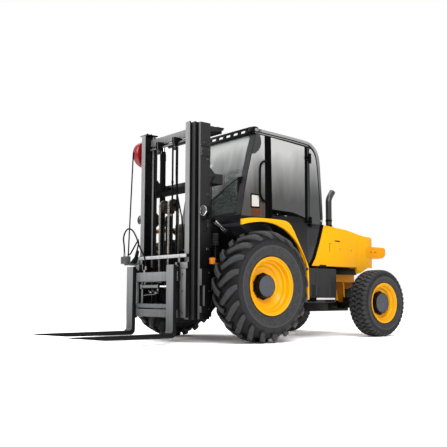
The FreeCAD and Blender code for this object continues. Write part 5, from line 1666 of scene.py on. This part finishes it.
for a, b, c, d in zip(CORNER, CORNER[1:], CORNER_UNDER, CORNER_UNDER[1:]):
    cap.plate([a, b, d, c], "Y", -566, 566, 0)
cap.plate([CORNER[0], CORNER_UNDER[0], (-990, 2410), (-980, 2427)], "Y", -566, 566, 0)
cap.plate([CORNER[-1], CORNER_UNDER[-1], (-1214, 2190), (-1222, 2186)], "Y", -566, 566, 0)
cap.done("roof_rear_cap", "chassis", cab_paint, "charcoal_paint", crease=50)
strips = Piece()
lower_line = [(x + 2, z - 6) for x, z in BAND_INNER if x > -1030]
gutter = Piece()
for side in (1, -1):
    gutter.pipe([(x, side * 573, z) for x, z in lower_line], 6, 10)
    strips.pipe([(x, side * 574, z - 14) for x, z in lower_line], 5, 10)
strips.done("roof_edge_strips", "chassis", edge_trim, "charcoal_paint", crease=60)
gutter.done("roof_gutter", "chassis", seal_rubber, "black_plastic", crease=60)
print("moulding triangles:", triangles["roof_moulding"])

# %% [markdown]
# ## Glass
# The side panes are bonded to the outside of the frame, so each is a thin slab that covers the
# steel behind it, with a narrow rubber edge. They are tinted and reflect the sky more towards the
# roof, so their colour runs from pale at the top to dark at the sill.


# %% Panes and seals
def shrink(points, distance):
    """The outline moved inwards by this distance."""
    area = sum(a[0] * b[1] - b[0] * a[1] for a, b in zip(points, points[1:] + points[:1]))
    turn = 1 if area > 0 else -1
    result = []
    for i, corner in enumerate(points):
        before, after = points[i - 1], points[(i + 1) % len(points)]
        first = Vector((corner[0] - before[0], corner[1] - before[1])).normalized()
        second = Vector((after[0] - corner[0], after[1] - corner[1])).normalized()
        inward = Vector((-first.y - second.y, first.x + second.x)) * turn
        inward = inward.normalized() * distance / max(0.3, math.sqrt((1 + first.dot(second)) / 2))
        result.append((corner[0] + inward.x, corner[1] + inward.y))
    return result


def border(piece, outer_line, inner_line, low, high):
    """A flat frame between two outlines with the same number of corners."""
    count = len(outer_line)
    for i in range(count):
        j = (i + 1) % count
        piece.plate([outer_line[i], outer_line[j], inner_line[j], inner_line[i]], "Y", low, high, 0)


DOOR_GLASS = traced("-386,2388 -404,1526 -740,1516 -900,1482 -958,1464 -958,2354 -930,2356 -670,2372")
FRONT_GLASS = traced("-160,2388 -128,2304 -96,2208 -66,2080 -14,1890 26,1710 56,1545 80,1440 78,1420"
    " -291,1420 -282,2392")
QUARTER_GLASS = traced("-1048,2346 -1080,2336 -1112,2308 -1138,2270 -1158,2222 -1172,2150 -1190,1990"
    " -1207,1790 -1219,1620 -1227,1470 -1222,1400 -1060,1400 -1048,1500")
door_pane = Piece()
door_pane.plate(rounded(DOOR_GLASS, 14), "Y", 570.5, 576, 1.5, 1)
door_pane.done("door_pane", "door", tinted, "tinted_glass", replaces=("door_glass",))
panes = Piece()
for outline in (FRONT_GLASS, QUARTER_GLASS, DOOR_GLASS):
    panes.plate(rounded(outline, 10), "Y", 570.5, 576, 1.5, 1)
panes.mirrored()
over_door = [f for f in panes.bm.faces if f.calc_center_median().y > 0
             and -965 < f.calc_center_median().x < -380]
bmesh.ops.delete(panes.bm, geom=over_door, context="FACES")
panes.done("side_panes", "chassis", tinted, "tinted_glass", replaces=("side_windows",))
door_seal = Piece()
border(door_seal, shrink(DOOR_GLASS, -7), shrink(DOOR_GLASS, 3), 569, 574.5)
door_seal.done("door_glass_seal", "door", seal_rubber, "black_plastic", crease=30)
seals = Piece()
for outline in (FRONT_GLASS, QUARTER_GLASS):
    border(seals, shrink(outline, -5), shrink(outline, 3), 569, 574.5)
    border(seals, shrink(outline, -5), shrink(outline, 3), -574.5, -569)
border(seals, shrink(DOOR_GLASS, -7), shrink(DOOR_GLASS, 3), -574.5, -569)
seals.done("side_glass_seals", "chassis", seal_rubber, "black_plastic", crease=30)
print("pane outlines:", len(DOOR_GLASS), len(FRONT_GLASS), len(QUARTER_GLASS))

# %% Windscreen and rear window
FRONT_CURVE = smooth_line(traced("84,1450 60,1540 30,1710 -10,1890 -60,2070 -92,2200 -160,2410"), 4)
REAR_CURVE = smooth_line(traced("-1216,2176 -1228,2080 -1241,1910 -1260,1650 -1276,1503"), 4)


def curved_sheet(piece, line, across, shift, thick):
    """A sheet that follows a side curve between two distances across the machine."""
    count = len(line)
    rows = []
    for i, (x, z) in enumerate(line):
        before, after = line[max(i - 1, 0)], line[min(i + 1, count - 1)]
        along = Vector((after[0] - before[0], 0, after[1] - before[1])).normalized()
        normal = Vector((along.z, 0, -along.x))
        base = Vector((x, 0, z)) + normal * shift
        rows.append([base + normal * t + Vector((0, y, 0))
                     for y, t in ((across[0], 0), (across[1], 0), (across[1], thick), (across[0], thick))])
    piece.loft(rows)


screen = Piece()
curved_sheet(screen, FRONT_CURVE, (-487, 487), -17, 6)
screen.done("windscreen_pane", "chassis", clear_tint, "tinted_glass", replaces=("windscreen",))
back = Piece()
curved_sheet(back, REAR_CURVE, (-467, 467), 11, 6)
back.done("rear_pane", "chassis", tinted, "tinted_glass", replaces=("rear_window",))
pillar_faces = Piece()
PILLAR_CURVE = smooth_line(traced("88,1430 60,1540 30,1710 -10,1890 -60,2070 -90,2200 -150,2390"), 4)
for side in (1, -1):
    curved_sheet(pillar_faces, PILLAR_CURVE, span(side, 474, 567), 0.6, 2.4)
pillar_faces.done("front_pillar_faces", "chassis", base_paint, "charcoal_paint")
front_seal = Piece()
for side in (1, -1):
    low, high = span(side, 470, 500)
    for (x0, z0), (x1, z1) in zip(FRONT_CURVE, FRONT_CURVE[1:]):
        front_seal.plate([(x0 - 11, z0), (x0 + 2, z0), (x1 + 2, z1), (x1 - 11, z1)], "Y", low, high, 0)
    for (x0, z0), (x1, z1) in zip(REAR_CURVE, REAR_CURVE[1:]):
        front_seal.plate([(x0 + 10, z0), (x0 - 3, z0), (x1 - 3, z1), (x1 + 10, z1)], "Y", low - side * 18,
                         high - side * 18, 0)
front_seal.block((72, 88), (-488, 488), (1440, 1462), 3)
front_seal.block((-168, -150), (-488, 488), (2400, 2410), 3)
front_seal.block((-1278, -1262), (-470, 470), (1490, 1512), 3)
front_seal.block((-1222, -1204), (-470, 470), (2164, 2184), 3)
front_seal.done("screen_seals", "chassis", seal_rubber, "black_plastic", crease=30)
print("screen triangles:", triangles["windscreen_pane"])

# %% [markdown]
# ## Pillars, handles and hinges
# A scalloped gusset stiffens the upper front corner behind the glass, and the wide black post in
# front of the door carries the grab handle. Handles are bent tube, swept along a smooth curve.

# %% Gussets, post and grab handles
gusset = Piece()
GUSSET = smooth_line(traced("-80,2150 -108,2156 -140,2166 -160,2186 -180,2198 -200,2226 -212,2246"
    " -226,2290 -222,2330 -214,2370 -170,2420"), 3)
GUSSET += [(-148, 2420), (-128, 2330), (-100, 2240)]
gusset.plate(GUSSET, "Y", 576.5, 579.5, 1)
gusset.plate(traced("-94,2168 -120,2172 -168,2320 -180,2400 -160,2410 -140,2320"), "Y", 579, 583, 2)
gusset.plate(traced("-150,2190 -170,2206 -205,2300 -200,2350 -188,2300"), "Y", 579, 581.5, 1.5)
gusset.mirrored()
gusset.done("corner_gussets", "chassis", pillar_paint, "charcoal_paint")
post = Piece()
post.plate(rounded(traced("-286,2392 -340,2392 -352,1420 -290,1420"), 5), "Y", 570, 578, 2)
post.mirrored()
post.done("door_posts", "chassis", deep_black, "black_paint")
STRIP_LINE = rounded(traced("-343,2386 -380,2384 -402,1520 -404,1432 -356,1424"), 5)
for name, body, side in (("door_front_strip", "door", 1), ("right_window_strip", "chassis", -1)):
    strip = Piece()
    strip.plate(STRIP_LINE, "Y", *span(side, 570.5, 578), 2)
    strip.done(name, body, deep_black, "black_paint")
handles = Piece()
for side in (1, -1):
    loop = smooth_line([(-300, side * 574, 2082), (-272, side * 598, 2081), (-238, side * 614, 2074),
                        (-204, side * 620, 2056), (-178, side * 620, 2022), (-168, side * 620, 1970),
                        (-166, side * 620, 1880), (-166, side * 620, 1760), (-168, side * 620, 1692),
                        (-190, side * 616, 1646), (-230, side * 602, 1618), (-290, side * 574, 1608)], 6)
    handles.pipe(loop, 13, 16)
    for z in (1608, 2082):
        handles.plate(rounded([(-322, z - 24), (-282, z - 24), (-282, z + 24), (-322, z + 24)], 10), "Y",
                      *span(side, 574, 581), 1.5)
        handles.bolt((-302, side * 581, z + 15), "Y" if side > 0 else "-Y", 6, 4, False)
handles.done("grab_handles_bent", "chassis", deep_black, "black_paint", replaces=("grab_handles",),
    crease=50)
hinge_bits = Piece()
for z in (1400, 2200):
    hinge_bits.turned(traced("-32,0 -32,13 -3,13 -3,0"), (-1030, 590, z), "Z", 24)
    hinge_bits.turned(traced("43,0 43,13 72,13 72,0"), (-1030, 590, z), "Z", 24)
    hinge_bits.plate([(-1034, z - 40), (-1072, z - 40), (-1072, z + 84), (-1034, z + 84)], "Y", 570, 583, 2)
    for k in (-16, 56):
        hinge_bits.bolt((-1054, 583, z + k), "Y", 6, 5)
hinge_bits.plate(traced("-990,1446 -1004,1446 -1004,2350 -990,2352"), "Y", 570, 574, 1.5)
hinge_bits.done("cab_hinge_plates", "chassis", deep_black, "black_paint")
corner_post = Piece()
corner_post.plate(traced("-1006,1400 -1050,1400 -1050,2345 -1006,2358"), "Y", 570, 575, 1.5)
corner_post.plate(traced("-1034,1404 -1040,1404 -1040,2340 -1034,2342"), "Y", 574, 578, 1.5)
corner_post.mirrored()
corner_post.done("rear_corner_posts", "chassis", base_paint, "charcoal_paint")
rear_strip = Piece()
rear_strip.plate(traced("-960,1452 -986,1446 -986,2354 -960,2356"), "Y", 570.5, 577, 2)
rear_strip.done("door_rear_strip", "door", deep_black, "black_paint")
door_hinges = Piece()
for z in (1400, 2200):
    door_hinges.turned(traced("1,0 1,13 39,13 39,0"), (-1030, 590, z), "Z", 24)
    door_hinges.plate([(-1026, z + 3), (-960, z + 3), (-950, z + 12), (-950, z + 28), (-960, z + 37),
        (-1026, z + 37)], "Y", 576.5, 592, 2.5)
    for x in (-972, -1000):
        door_hinges.bolt((x, 592, z + 20), "Y", 6, 4, False)
door_hinges.done("door_hinge_leaves", "door", deep_black, "black_paint")
door_bits = Piece()
door_bits.plate(traced("-404,1524 -740,1514 -900,1480 -988,1454 -988,1436 -896,1464 -738,1498 -404,1508"),
    "Y", 572, 579, 2)
door_bits.plate(rounded(traced("-440,1496 -530,1493 -530,1452 -455,1452"), 8), "Y", 569, 577, 2)
door_bits.pipe(traced("-448,575,1486 -450,595,1484 -462,602,1482 -505,602,1480 -518,595,1478"
    " -520,575,1476"), 6, 10)
door_bits.plate(traced("-352,1438 -424,1338 -564,1112 -684,933 -1002,933 -1002,946 -690,946 -571,1122"
    " -431,1349 -362,1444"), "Y", 566, 573, 1.5)
door_bits.turned(traced("0,0 0,12 3,12 5,9 5,0"), (-560, 570, 1466), "Y", 20)
door_bits.done("door_handle_and_trim", "door", deep_black, "black_paint")
door_latch = Piece()
door_latch.turned(traced("0,0 0,8 3,8 4,6 4,0"), (-484, 577, 1474), "Y", 20)
door_latch.plate(rounded(traced("-610,1472 -650,1470 -650,1460 -610,1462"), 4), "Y", 569, 572, 1)
door_latch.done("door_latch_plates", "door", zinc, "steel")
knob = Piece()
knob.turned(traced("0,0 0,9 14,9 16,16 28,17 34,12 34,0"), (-1262, 540, 1450), "Y", 24)
knob.done("panel_knob", "chassis", zinc, "steel")
print("handle triangles:", triangles["grab_handles_bent"])

# %% Blank plate and side reflector
plate_frame = Piece()
plate_frame.plate(rounded(traced("-60,1686 -204,1684 -204,1522 -60,1516"), 10), "Y", 576.5, 579, 0.8)
plate_frame.done("side_plate_frame", "chassis", deep_black, "black_paint")
plate_face = Piece()
plate_face.plate(rounded(traced("-76,1668 -188,1667 -188,1540 -76,1535"), 8), "Y", 579, 580.2, 0.4, 1)
plate_face.done("side_plate_blank", "chassis", white_paint, "steel")
reflector = Piece()
reflector.plate(rounded(traced("-74,1508 -212,1512 -216,1432 -70,1430"), 8), "Y", 576.5, 580, 1.5)
reflector.plate(traced("-238,1600 -246,1600 -250,1432 -242,1432"), "Y", 576.5, 579, 1)
reflector.plate(traced("-262,1640 -268,1640 -273,1432 -266,1432"), "Y", 576.5, 579, 1)
reflector.done("side_reflector", "chassis", brown_box, "red_paint")
print("small cab pieces ready")

# %% [markdown]
# ## Wiper
# A motor box on the glass swings a long arm with a thin blade. The arm is a swept strip, so it
# can bow a little towards the glass.

# %% Wiper arm
WIPER_HUB, WIPER_TIP = Vector((12, 452, 1862)), Vector((84, -90, 1572))
wiper = Piece()
wiper.block((-20, 18), (424, 500), (1800, 1884), 6)
wiper.block((-4, 26), (436, 462), (1700, 1800), 5)
wiper.turned(traced("0,0 0,18 12,18 16,12 16,0"), (14, 452, 1862), "X", 28)
arm = [WIPER_HUB.lerp(WIPER_TIP, k / 8) + Vector((20 + 8 * math.sin(math.pi * k / 8), 0, 0))
    for k in range(9)]
wiper.pipe(arm, 6, 8)
blade = [WIPER_HUB.lerp(WIPER_TIP, 0.42 + 0.6 * k / 6) + Vector((9, 0, -4)) for k in range(7)]
wiper.pipe(blade, 8, 8)
wiper.done("wiper_arm", "chassis", black, "black_paint")
print("wiper triangles:", triangles["wiper_arm"])

# %% [markdown]
# ## Inside the cab
# Through the glass one sees the seat, the wheel, a dash and levers. The seat is upholstered, so it
# gets its own shape: crowned cushions that pull in at their seams, over a hard shell.


# %% Seat cushions
def cushion(name, length, width, thick, place, lean, channels):
    """A crowned pad: a grid over its outline, swollen between its sewn channels and edges."""
    rows, columns = 26, 24
    piece = Piece()
    top, bottom = [], []
    for i in range(rows + 1):
        u = i / rows * 2 - 1
        top.append([])
        bottom.append([])
        for j in range(columns + 1):
            v = j / columns * 2 - 1
            corner = (abs(u) ** 6 + abs(v) ** 6) ** (1 / 6)
            pull = max(1.0, corner)
            x, y = u / pull * length / 2, v / pull * width / 2
            crown = 1 - max(abs(u), abs(v)) ** 4
            seam = min(1.0, min(abs(v - c) for c in channels) / 0.09) if channels else 1.0
            bolster = 0.16 * max(0.0, abs(v) - 0.62) / 0.38 * (1 - abs(v) ** 8)
            height = thick * (0.34 + 0.50 * crown * (0.80 + 0.20 * seam ** 0.6) + bolster)
            top[-1].append(Vector((x, y, height)))
            bottom[-1].append(Vector((x * 0.97, y * 0.97, 0)))
    turn = Matrix.Rotation(math.radians(lean), 3, "Y")
    origin = Vector(place)
    layers = []
    for grid in (top, bottom):
        layers.append([[piece.bm.verts.new(origin + turn @ p) for p in row] for row in grid])
    for layer in layers:
        for i in range(rows):
            for j in range(columns):
                piece.bm.faces.new((layer[i][j], layer[i + 1][j], layer[i + 1][j + 1], layer[i][j + 1]))
    rim_line = [(0, j) for j in range(columns)] + [(i, columns) for i in range(rows)]
    rim_line += [(rows, j) for j in range(columns, 0, -1)] + [(i, 0) for i in range(rows, 0, -1)]
    for (i, j), (k, m) in zip(rim_line, rim_line[1:] + rim_line[:1]):
        piece.bm.faces.new((layers[0][i][j], layers[0][k][m], layers[1][k][m], layers[1][i][j]))
    bmesh.ops.recalc_face_normals(piece.bm, faces=piece.bm.faces[:])
    made = piece.done(name, "chassis", seat_cloth, "seat_fabric", replaces=("seat",), crease=60)
    piping = Piece()
    loop = [origin + turn @ Vector((top[i][j].x, top[i][j].y, thick * 0.33)) for i, j in rim_line]
    piping.pipe(loop + [loop[0]], 3.2, 8)
    for c in channels:
        j = round((c + 1) / 2 * columns)
        piping.pipe([origin + turn @ (top[i][j] + Vector((0, 0, -1.5)))
            for i in range(2, rows - 1)], 2.2, 6)
    piping.done(name + "_piping", "chassis", seal_rubber, "seat_fabric", crease=60)
    return made


cushion("seat_cushion_pad", 470, 490, 118, (-660, 0, 1350), 0, (-0.5, 0.5))
cushion("seat_back_pad", 520, 470, 110, (-990, 0, 1740), 80, (-0.5, 0.5))
shell = Piece()
shell.plate(rounded(traced("-425,1332 -425,1356 -900,1356 -935,1400 -1025,1998 -1052,1994 -975,1380"
    " -930,1332"), 16), "Y", -235, 235, 5)
for side in (1, -1):
    shell.plate(rounded(traced("-880,1400 -600,1520 -560,1560 -590,1580 -860,1560 -930,1470"), 18), "Y",
        side * 262 - 8, side * 262 + 8, 4)
shell.done("seat_shell", "chassis", plastic, "black_plastic")
belt = Piece()
belt.plate(traced("-880,1466 -860,1474 -840,1474 -860,1466"), "Y", -230, 230, 1)
belt.done("seat_belt", "chassis", belt_cloth, "seat_fabric")
print("seat triangles:", triangles["seat_cushion_pad"])

# %% Steering wheel, dash and levers
wheel_turn = Matrix.Rotation(math.radians(-21), 3, "Y")
WHEEL_CENTRE = Vector((-240, 0, 1712))
steering = Piece()
rim_line = [WHEEL_CENTRE + wheel_turn @ Vector((x, y, 0)) for x, y in circle(185, 48)]
steering.pipe(rim_line + rim_line[:1], 15, 14)
for k in range(3):
    a = math.pi / 2 + 2 * math.pi * k / 3 + math.pi / 6
    out = Vector((math.cos(a), math.sin(a), 0))
    points = [WHEEL_CENTRE + wheel_turn @ (out * r + Vector((0, 0, -18 * (1 - r / 185))))
        for r in (30, 90, 150, 180)]
    steering.pipe(points, 9, 8)
steering.turned(traced("-26,0 -26,34 -6,44 2,40 6,28 6,0"), WHEEL_CENTRE,
    tuple(wheel_turn @ Vector((0, 0, 1))), 32)
steering.rod(tuple(WHEEL_CENTRE + wheel_turn @ Vector((0, 120, 14))),
             tuple(WHEEL_CENTRE + wheel_turn @ Vector((0, 120, 60))), 16, 20, 6)
steering.turned(traced("0,44 0,30 150,28 260,26 340,26 340,0 0,0"), (-112, 0, 1385), (-125, 0, 320), 24)
steering.done("steering_wheel_and_column", "chassis", plastic, "black_plastic",
    replaces=("steering_wheel",), crease=50)
dash = Piece()
DASH_LINE = rounded(traced("36,1346 40,1420 16,1558 -128,1544 -149,1470 -70,1400 -60,1346"), 18)
dash.plate(DASH_LINE, "Y", -478, 478, 7, 3)
dash.plate(rounded(traced("-130,1546 -60,1600 -20,1604 10,1560"), 14), "Y", -150, 150, 6)
dash.done("dash_moulding", "chassis", plastic, "black_plastic", replaces=("dashboard",))
dials = Piece()
for y in (-95, -30, 35, 100):
    dials.turned(traced("0,0 0,24 5,26 8,24 8,20 3,19 3,0"), (-98, y, 1574), (-0.62, 0, 0.78), 28)
for y in range(-420, -200, 44):
    dials.block((-135, -126), (y, y + 28), (1500, 1530), 3)
dials.done("dash_dials", "chassis", charcoal, "black_plastic")
levers = Piece()
for y in (-330, -370, -410):
    levers.pipe([(-330, y, 1345), (-330, y, 1420), (-318, y, 1540), (-300, y, 1600)], 7, 10)
    levers.turned(traced("-16,0 -12,14 4,18 18,15 24,0"), (-298, y, 1606), "Z", 20)
levers.block((-420, -250), (-440, -300), (1330, 1400), 10)
levers.pipe([(-180, 60, 1640), (-190, 110, 1652), (-200, 170, 1662)], 5, 8)
levers.turned(traced("0,0 0,9 40,9 44,5 44,0"), (-200, 165, 1662), "Y", 16)
levers.done("control_levers", "chassis", plastic, "black_plastic")
base = Piece()
base.plate(rounded(traced("-955,1012 -955,1328 -435,1328 -435,1012"), 20), "Y", -299, 299, 8)
for x in range(-860, -520, 44):
    base.block((x, x + 18), (298, 303), (1090, 1240), 2)
base.done("seat_box", "chassis", charcoal, "charcoal_paint", replaces=("seat_pedestal",))
mirror = Piece()
mirror.plate(rounded(traced("70,2210 -70,2210 -70,2270 70,2270"), 14), "X", -150, -140, 3)
mirror.rod((-146, 0, 2262), (-160, 0, 2330), 6, 12)
mirror.done("cab_mirror", "chassis", plastic, "black_plastic")
print("dash triangles:", triangles["dash_moulding"])

# %% [markdown]
# ## Frame, axles and engine
# These castings and weldments already have their right shape in the frame. Each gets its edges
# rounded and its own bolts, caps, pipes and guards, which a stranger would look for when they
# crouch down beside the machine.

# %% CAD shapes with rounded edges
for node, body, material, slot, width in (
        ("front_axle", "chassis", black, "black_paint", 4),
        ("rear_axle", "chassis", black, "black_paint", 4),
        ("rear_axle_mount", "chassis", mount_yellow_shaded, "yellow_paint", 4),
        ("rear_knuckle_left", "knuckle_left", black, "black_paint", 3),
        ("rear_knuckle_right", "knuckle_right", black, "black_paint", 3),
        ("chassis_frame", "chassis", black, "black_paint", 3),
        ("mast_mounts", "chassis", black, "black_paint", 4),
        ("engine_block", "chassis", hub_grey, "engine_grey", 12),
        ("lift_rods", "middle_mast", chrome, "rod_chrome", 1)):
    softened(node, node + "_dressed", body, material, slot, width)
print("rounded frame triangles:", triangles["chassis_frame_dressed"])

# %% Axle details
axle_bits = Piece()
for dx, dz in circle(150, 12):
    axle_bits.bolt((dx, 110, 615 + dz), "Y", 10, 8)
    axle_bits.bolt((dx, -110, 615 + dz), "-Y", 10, 8)
axle_bits.turned(traced("0,0 0,92 26,86 30,70 30,0"), (-150, 0, 615), "-X", 36)
axle_bits.turned(traced("0,0 0,44 46,40 50,0"), (-178, 0, 615), "-X", 28)
axle_bits.rod((-228, 0, 615), (-420, 0, 640), 26, 24)
for side in (1, -1):
    for x in (-40, 40):
        axle_bits.bolt((x, side * 318, 700), "Z", 13, 11)
        axle_bits.rod((x, side * 318, 600), (x, side * 318, 706), 9, 16)
    axle_bits.pipe([(-60, side * 180, 690), (-90, side * 300, 700), (-110, side * 480, 690),
        (-120, side * 600, 660), (-100, side * 640, 640)], 6, 10)
    for dx, dz in circle(140, 10, 0.5):
        axle_bits.bolt((dx, side * 640, 615 + dz), "-Y" if side > 0 else "Y", 9, 7)
axle_bits.done("front_axle_details", "chassis", black, "black_paint")
rear_details = Piece()
for side in (1, -1):
    rear_details.turned(traced("0,0 0,30 8,30 14,20 14,0"), (REAR_AXLE_X, side * 690, 533), "Z", 28)
    rear_details.turned(traced("0,0 0,30 8,30 12,20 12,0"), (REAR_AXLE_X, side * 690, 315), "-Z", 28)
    for x in (-26, 26):
        rear_details.bolt((REAR_AXLE_X + x, side * 600, 526), "Z", 8, 7)
rear_details.turned(traced("0,0 0,58 10,60 20,50 20,0"), (REAR_AXLE_X + 94, 0, 424), "X", 32)
rear_details.turned(traced("0,0 0,58 10,60 20,50 20,0"), (REAR_AXLE_X - 94, 0, 424), "-X", 32)
rear_details.done("rear_axle_details", "chassis", black, "black_paint")
print("axle detail triangles:", triangles["front_axle_details"])

# %% Engine and frame details
engine = Piece()
for x in range(-1990, -1350, 84):
    for side in (1, -1):
        engine.plate(rounded([(x, 940), (x + 54, 940), (x + 54, 1180), (x, 1180)], 12), "Y",
            *span(side, 249, 262), 4)
engine.plate(rounded(traced("-1980,860 -1980,900 -1380,900 -1380,880 -1480,820 -1820,820"), 20), "Y",
    -180, 180, 10)
engine.turned(traced("0,0 0,46 90,46 96,40 96,0"), (-1560, -262, 980), "-Y", 32)
engine.turned(traced("0,0 0,90 14,90 14,30 26,28 26,0"), (-2020, 0, 1050), "-X", 40)
engine.block((-1960, -1400), (-150, 150), (1224, 1262), 14, 3)
engine.done("engine_covers", "chassis", hub_grey, "engine_grey")
frame_bits = Piece()
for side in (1, -1):
    for x in range(-1500, -380, 160):
        frame_bits.bolt((x, side * 335, 860), "Y" if side > 0 else "-Y", 10, 8)
    frame_bits.pipe([(330, side * 300, 760), (200, side * 296, 800), (-100, side * 296, 806),
        (-700, side * 296, 806), (-1300, side * 296, 790)], 9, 10)
    frame_bits.block((372, 392), span(side, 338, 562), (852, 900), 3)
    frame_bits.block((374, 470), span(side, 557, 596), (856, 898), 4)
    frame_bits.rod((460, side * 583, 890), (478, side * 604, 1060), 11, 16)
frame_bits.block((178, 306), (-404, 300), (1040, 1372), 14, 3)
frame_bits.block((296, 322), (-330, 330), (500, 780), 6)
frame_bits.block((-2080, -1190), (-290, 290), (314, 356), 8)
frame_bits.block((-1866, -1600), (-288, 288), (314, 456), 8)
# Thin black sheets below the body's lower edge, near the rear wheels, stand in for the shade there: painted
# shade.
for side in (1, -1):
    frame_bits.block((-2245, -1640), span(side, 300, 304), (794, 884), 1)
for side in (1, -1):
    frame_bits.block((-2190, -1990), span(side, 200, 262), (440, 650), 8)
frame_bits.done("frame_details", "chassis", black, "black_paint")
boots = Piece()
for side in (1, -1):
    for k in range(7):
        z = 1058 + 19 * k
        boots.turned(traced("0,20 1,32 3,36 6,36 8,32 9,20"), (478, side * 604, z), "Z", 28)
boots.done("ribbed_boots", "chassis", pillar_paint, "black_plastic")
cores = Piece()
for side in (1, -1):
    cores.rod((478, side * 604, 1052), (478, side * 604, 1194), 26, 24)
cores.done("boot_cores", "chassis", deep_black, "black_plastic")
# The webs are painted shade in dark yellow; the strips along their edges below, in the lighter mount
# yellow, are their lit edges.
webs = Piece()
webs.plate(traced("-1822,652 -1868,432 -1992,432 -1984,700 -1822,700"), "Y", 296, 303, 1.5)
webs.plate(traced("-1984,700 -2196,700 -2190,650 -2060,606 -1990,606"), "Y", 286, 298, 1.5)
webs.mirrored()
webs.plate(traced("-2030,520 -2030,700 -2050,700 -2050,520"), "Y", -262, 262, 3)
webs.done("axle_mount_webs", "chassis", web_yellow_shaded, "yellow_paint")
edges = Piece()
edges.plate(traced("-1940,700 -1966,640 -1974,432 -1992,432 -1984,640 -1962,700"), "Y", 301, 308, 1.5)
edges.plate(traced("-1822,694 -1822,706 -2140,706 -2140,694"), "Y", 299, 303, 1)
edges.mirrored()
edges.done("axle_mount_lit_edges", "chassis", mount_yellow_shaded, "yellow_paint")
marker = Piece()
for side in (1, -1):
    marker.plate(rounded(traced("472,852 528,852 528,922 472,922"), 8), "Y", *span(side, 558, 600), 5, 3)
marker.done("side_markers", "chassis", amber, "red_paint")
print("frame detail triangles:", triangles["frame_details"])
print("CAD nodes that show as they are:", sorted(n for n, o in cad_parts.items() if not o.hide_render))

# %% [markdown]
# ## Stage
# The machine stands on a plain pale floor under soft light. The background is white because the
# world is white where the camera looks straight at it, and the lamps stay low, so that paint
# keeps the colour it was given.


# %% Floor
def floor_finish():
    made, place, shader = finish("studio_floor", Roughness=0.9)
    seen, glossy, through = light_rays(place.tree)
    plain = seen.math("MAXIMUM", seen, glossy)
    plain = plain.math("MAXIMUM", plain, through)
    cloudy = place.noise(0.6).ramp(0.3, 0.7).blend(tint(0.90, 0.90, 0.90), tint(0.915, 0.915, 0.915))
    feed(shader, Base_Color=plain.blend(cloudy, tint(1.75, 1.75, 1.75)))
    return made


floor_mesh = bpy.data.meshes.new("studio_floor")
FLOOR = 60.0
floor_mesh.from_pydata([(-FLOOR, -FLOOR, 0), (FLOOR, -FLOOR, 0), (FLOOR, FLOOR, 0), (-FLOOR, FLOOR, 0)], [],
                       [(0, 1, 2, 3)])
floor_mesh.materials.append(floor_finish())
floor = into_scene("studio_floor", floor_mesh)
print("floor is", 2 * FLOOR, "m wide")


# %% World and lamps
def world_light(strength):
    world = bpy.data.worlds.new("studio")
    bpy.context.scene.world = world
    world.use_nodes = True
    tree = world.node_tree
    tree.nodes.clear()
    seen, glossy, through = light_rays(tree)
    plain = seen.math("MAXIMUM", seen, through)
    direction = Socket(tree, tree.nodes.new("ShaderNodeTexCoord").outputs["Generated"])
    studio = direction.part(2).ramp(-0.1, 0.8) * 0.75 + 0.25
    level = plain + (1 - plain) * (glossy * studio + (1 - glossy) * strength)
    background = tree.nodes.new("ShaderNodeBackground")
    background.inputs["Color"].default_value = (1, 1, 1, 1)
    tree.links.new(level.socket, background.inputs["Strength"])
    output = tree.nodes.new("ShaderNodeOutputWorld")
    tree.links.new(background.outputs[0], output.inputs[0])


def soft_lamp(name, place, target, size, watts):
    data = bpy.data.lights.new(name, "AREA")
    data.shape = "RECTANGLE"
    data.size, data.size_y = size
    data.energy = watts
    lamp = into_scene(name, data)
    lamp.location = place
    lamp.rotation_euler = (Vector(target) - Vector(place)).to_track_quat("-Z", "Y").to_euler()


world_light(0.62)
soft_lamp("key", (3.0, 6.5, 6.0), (0, 0, 1), (5.0, 4.0), 520)
soft_lamp("overhead", (-0.5, 0.0, 7.5), (-0.5, 0, 0), (6.0, 4.0), 330)
soft_lamp("far_side", (2.0, -7.0, 4.0), (0, 0, 1), (4.0, 3.0), 160)
print("lamps:", len(bpy.data.lights))

# %% Camera
FOCAL_LENGTH = 54.91007
camera_data = bpy.data.cameras.new("camera")
camera_data.sensor_width = 36.0
camera_data.lens = FOCAL_LENGTH
camera = into_scene("camera", camera_data)
yaw, pitch, roll = math.radians(-129.434), math.radians(5.977), math.radians(0.185)
look = Vector((math.cos(yaw) * math.cos(pitch), math.sin(yaw) * math.cos(pitch), math.sin(pitch)))
camera.location = at(5112, 6376, 520)
camera.rotation_euler = (look.to_track_quat("-Z", "Y").to_matrix() @ Matrix.Rotation(roll, 3,
    "Z")).to_euler()
bpy.context.scene.camera = camera
bpy.context.scene.view_settings.view_transform = "Standard"
print("camera at", [round(v, 3) for v in camera.location], "lens", round(camera_data.lens, 1))

# %% [markdown]
# ## Triangle counts
# The last cell prints how many triangles the pieces add, and the five largest pieces.

# %% Finish
largest = sorted(triangles, key=triangles.get)[-5:]
print("triangles added:", sum(triangles.values()), "largest:", [(name, triangles[name])
    for name in largest])
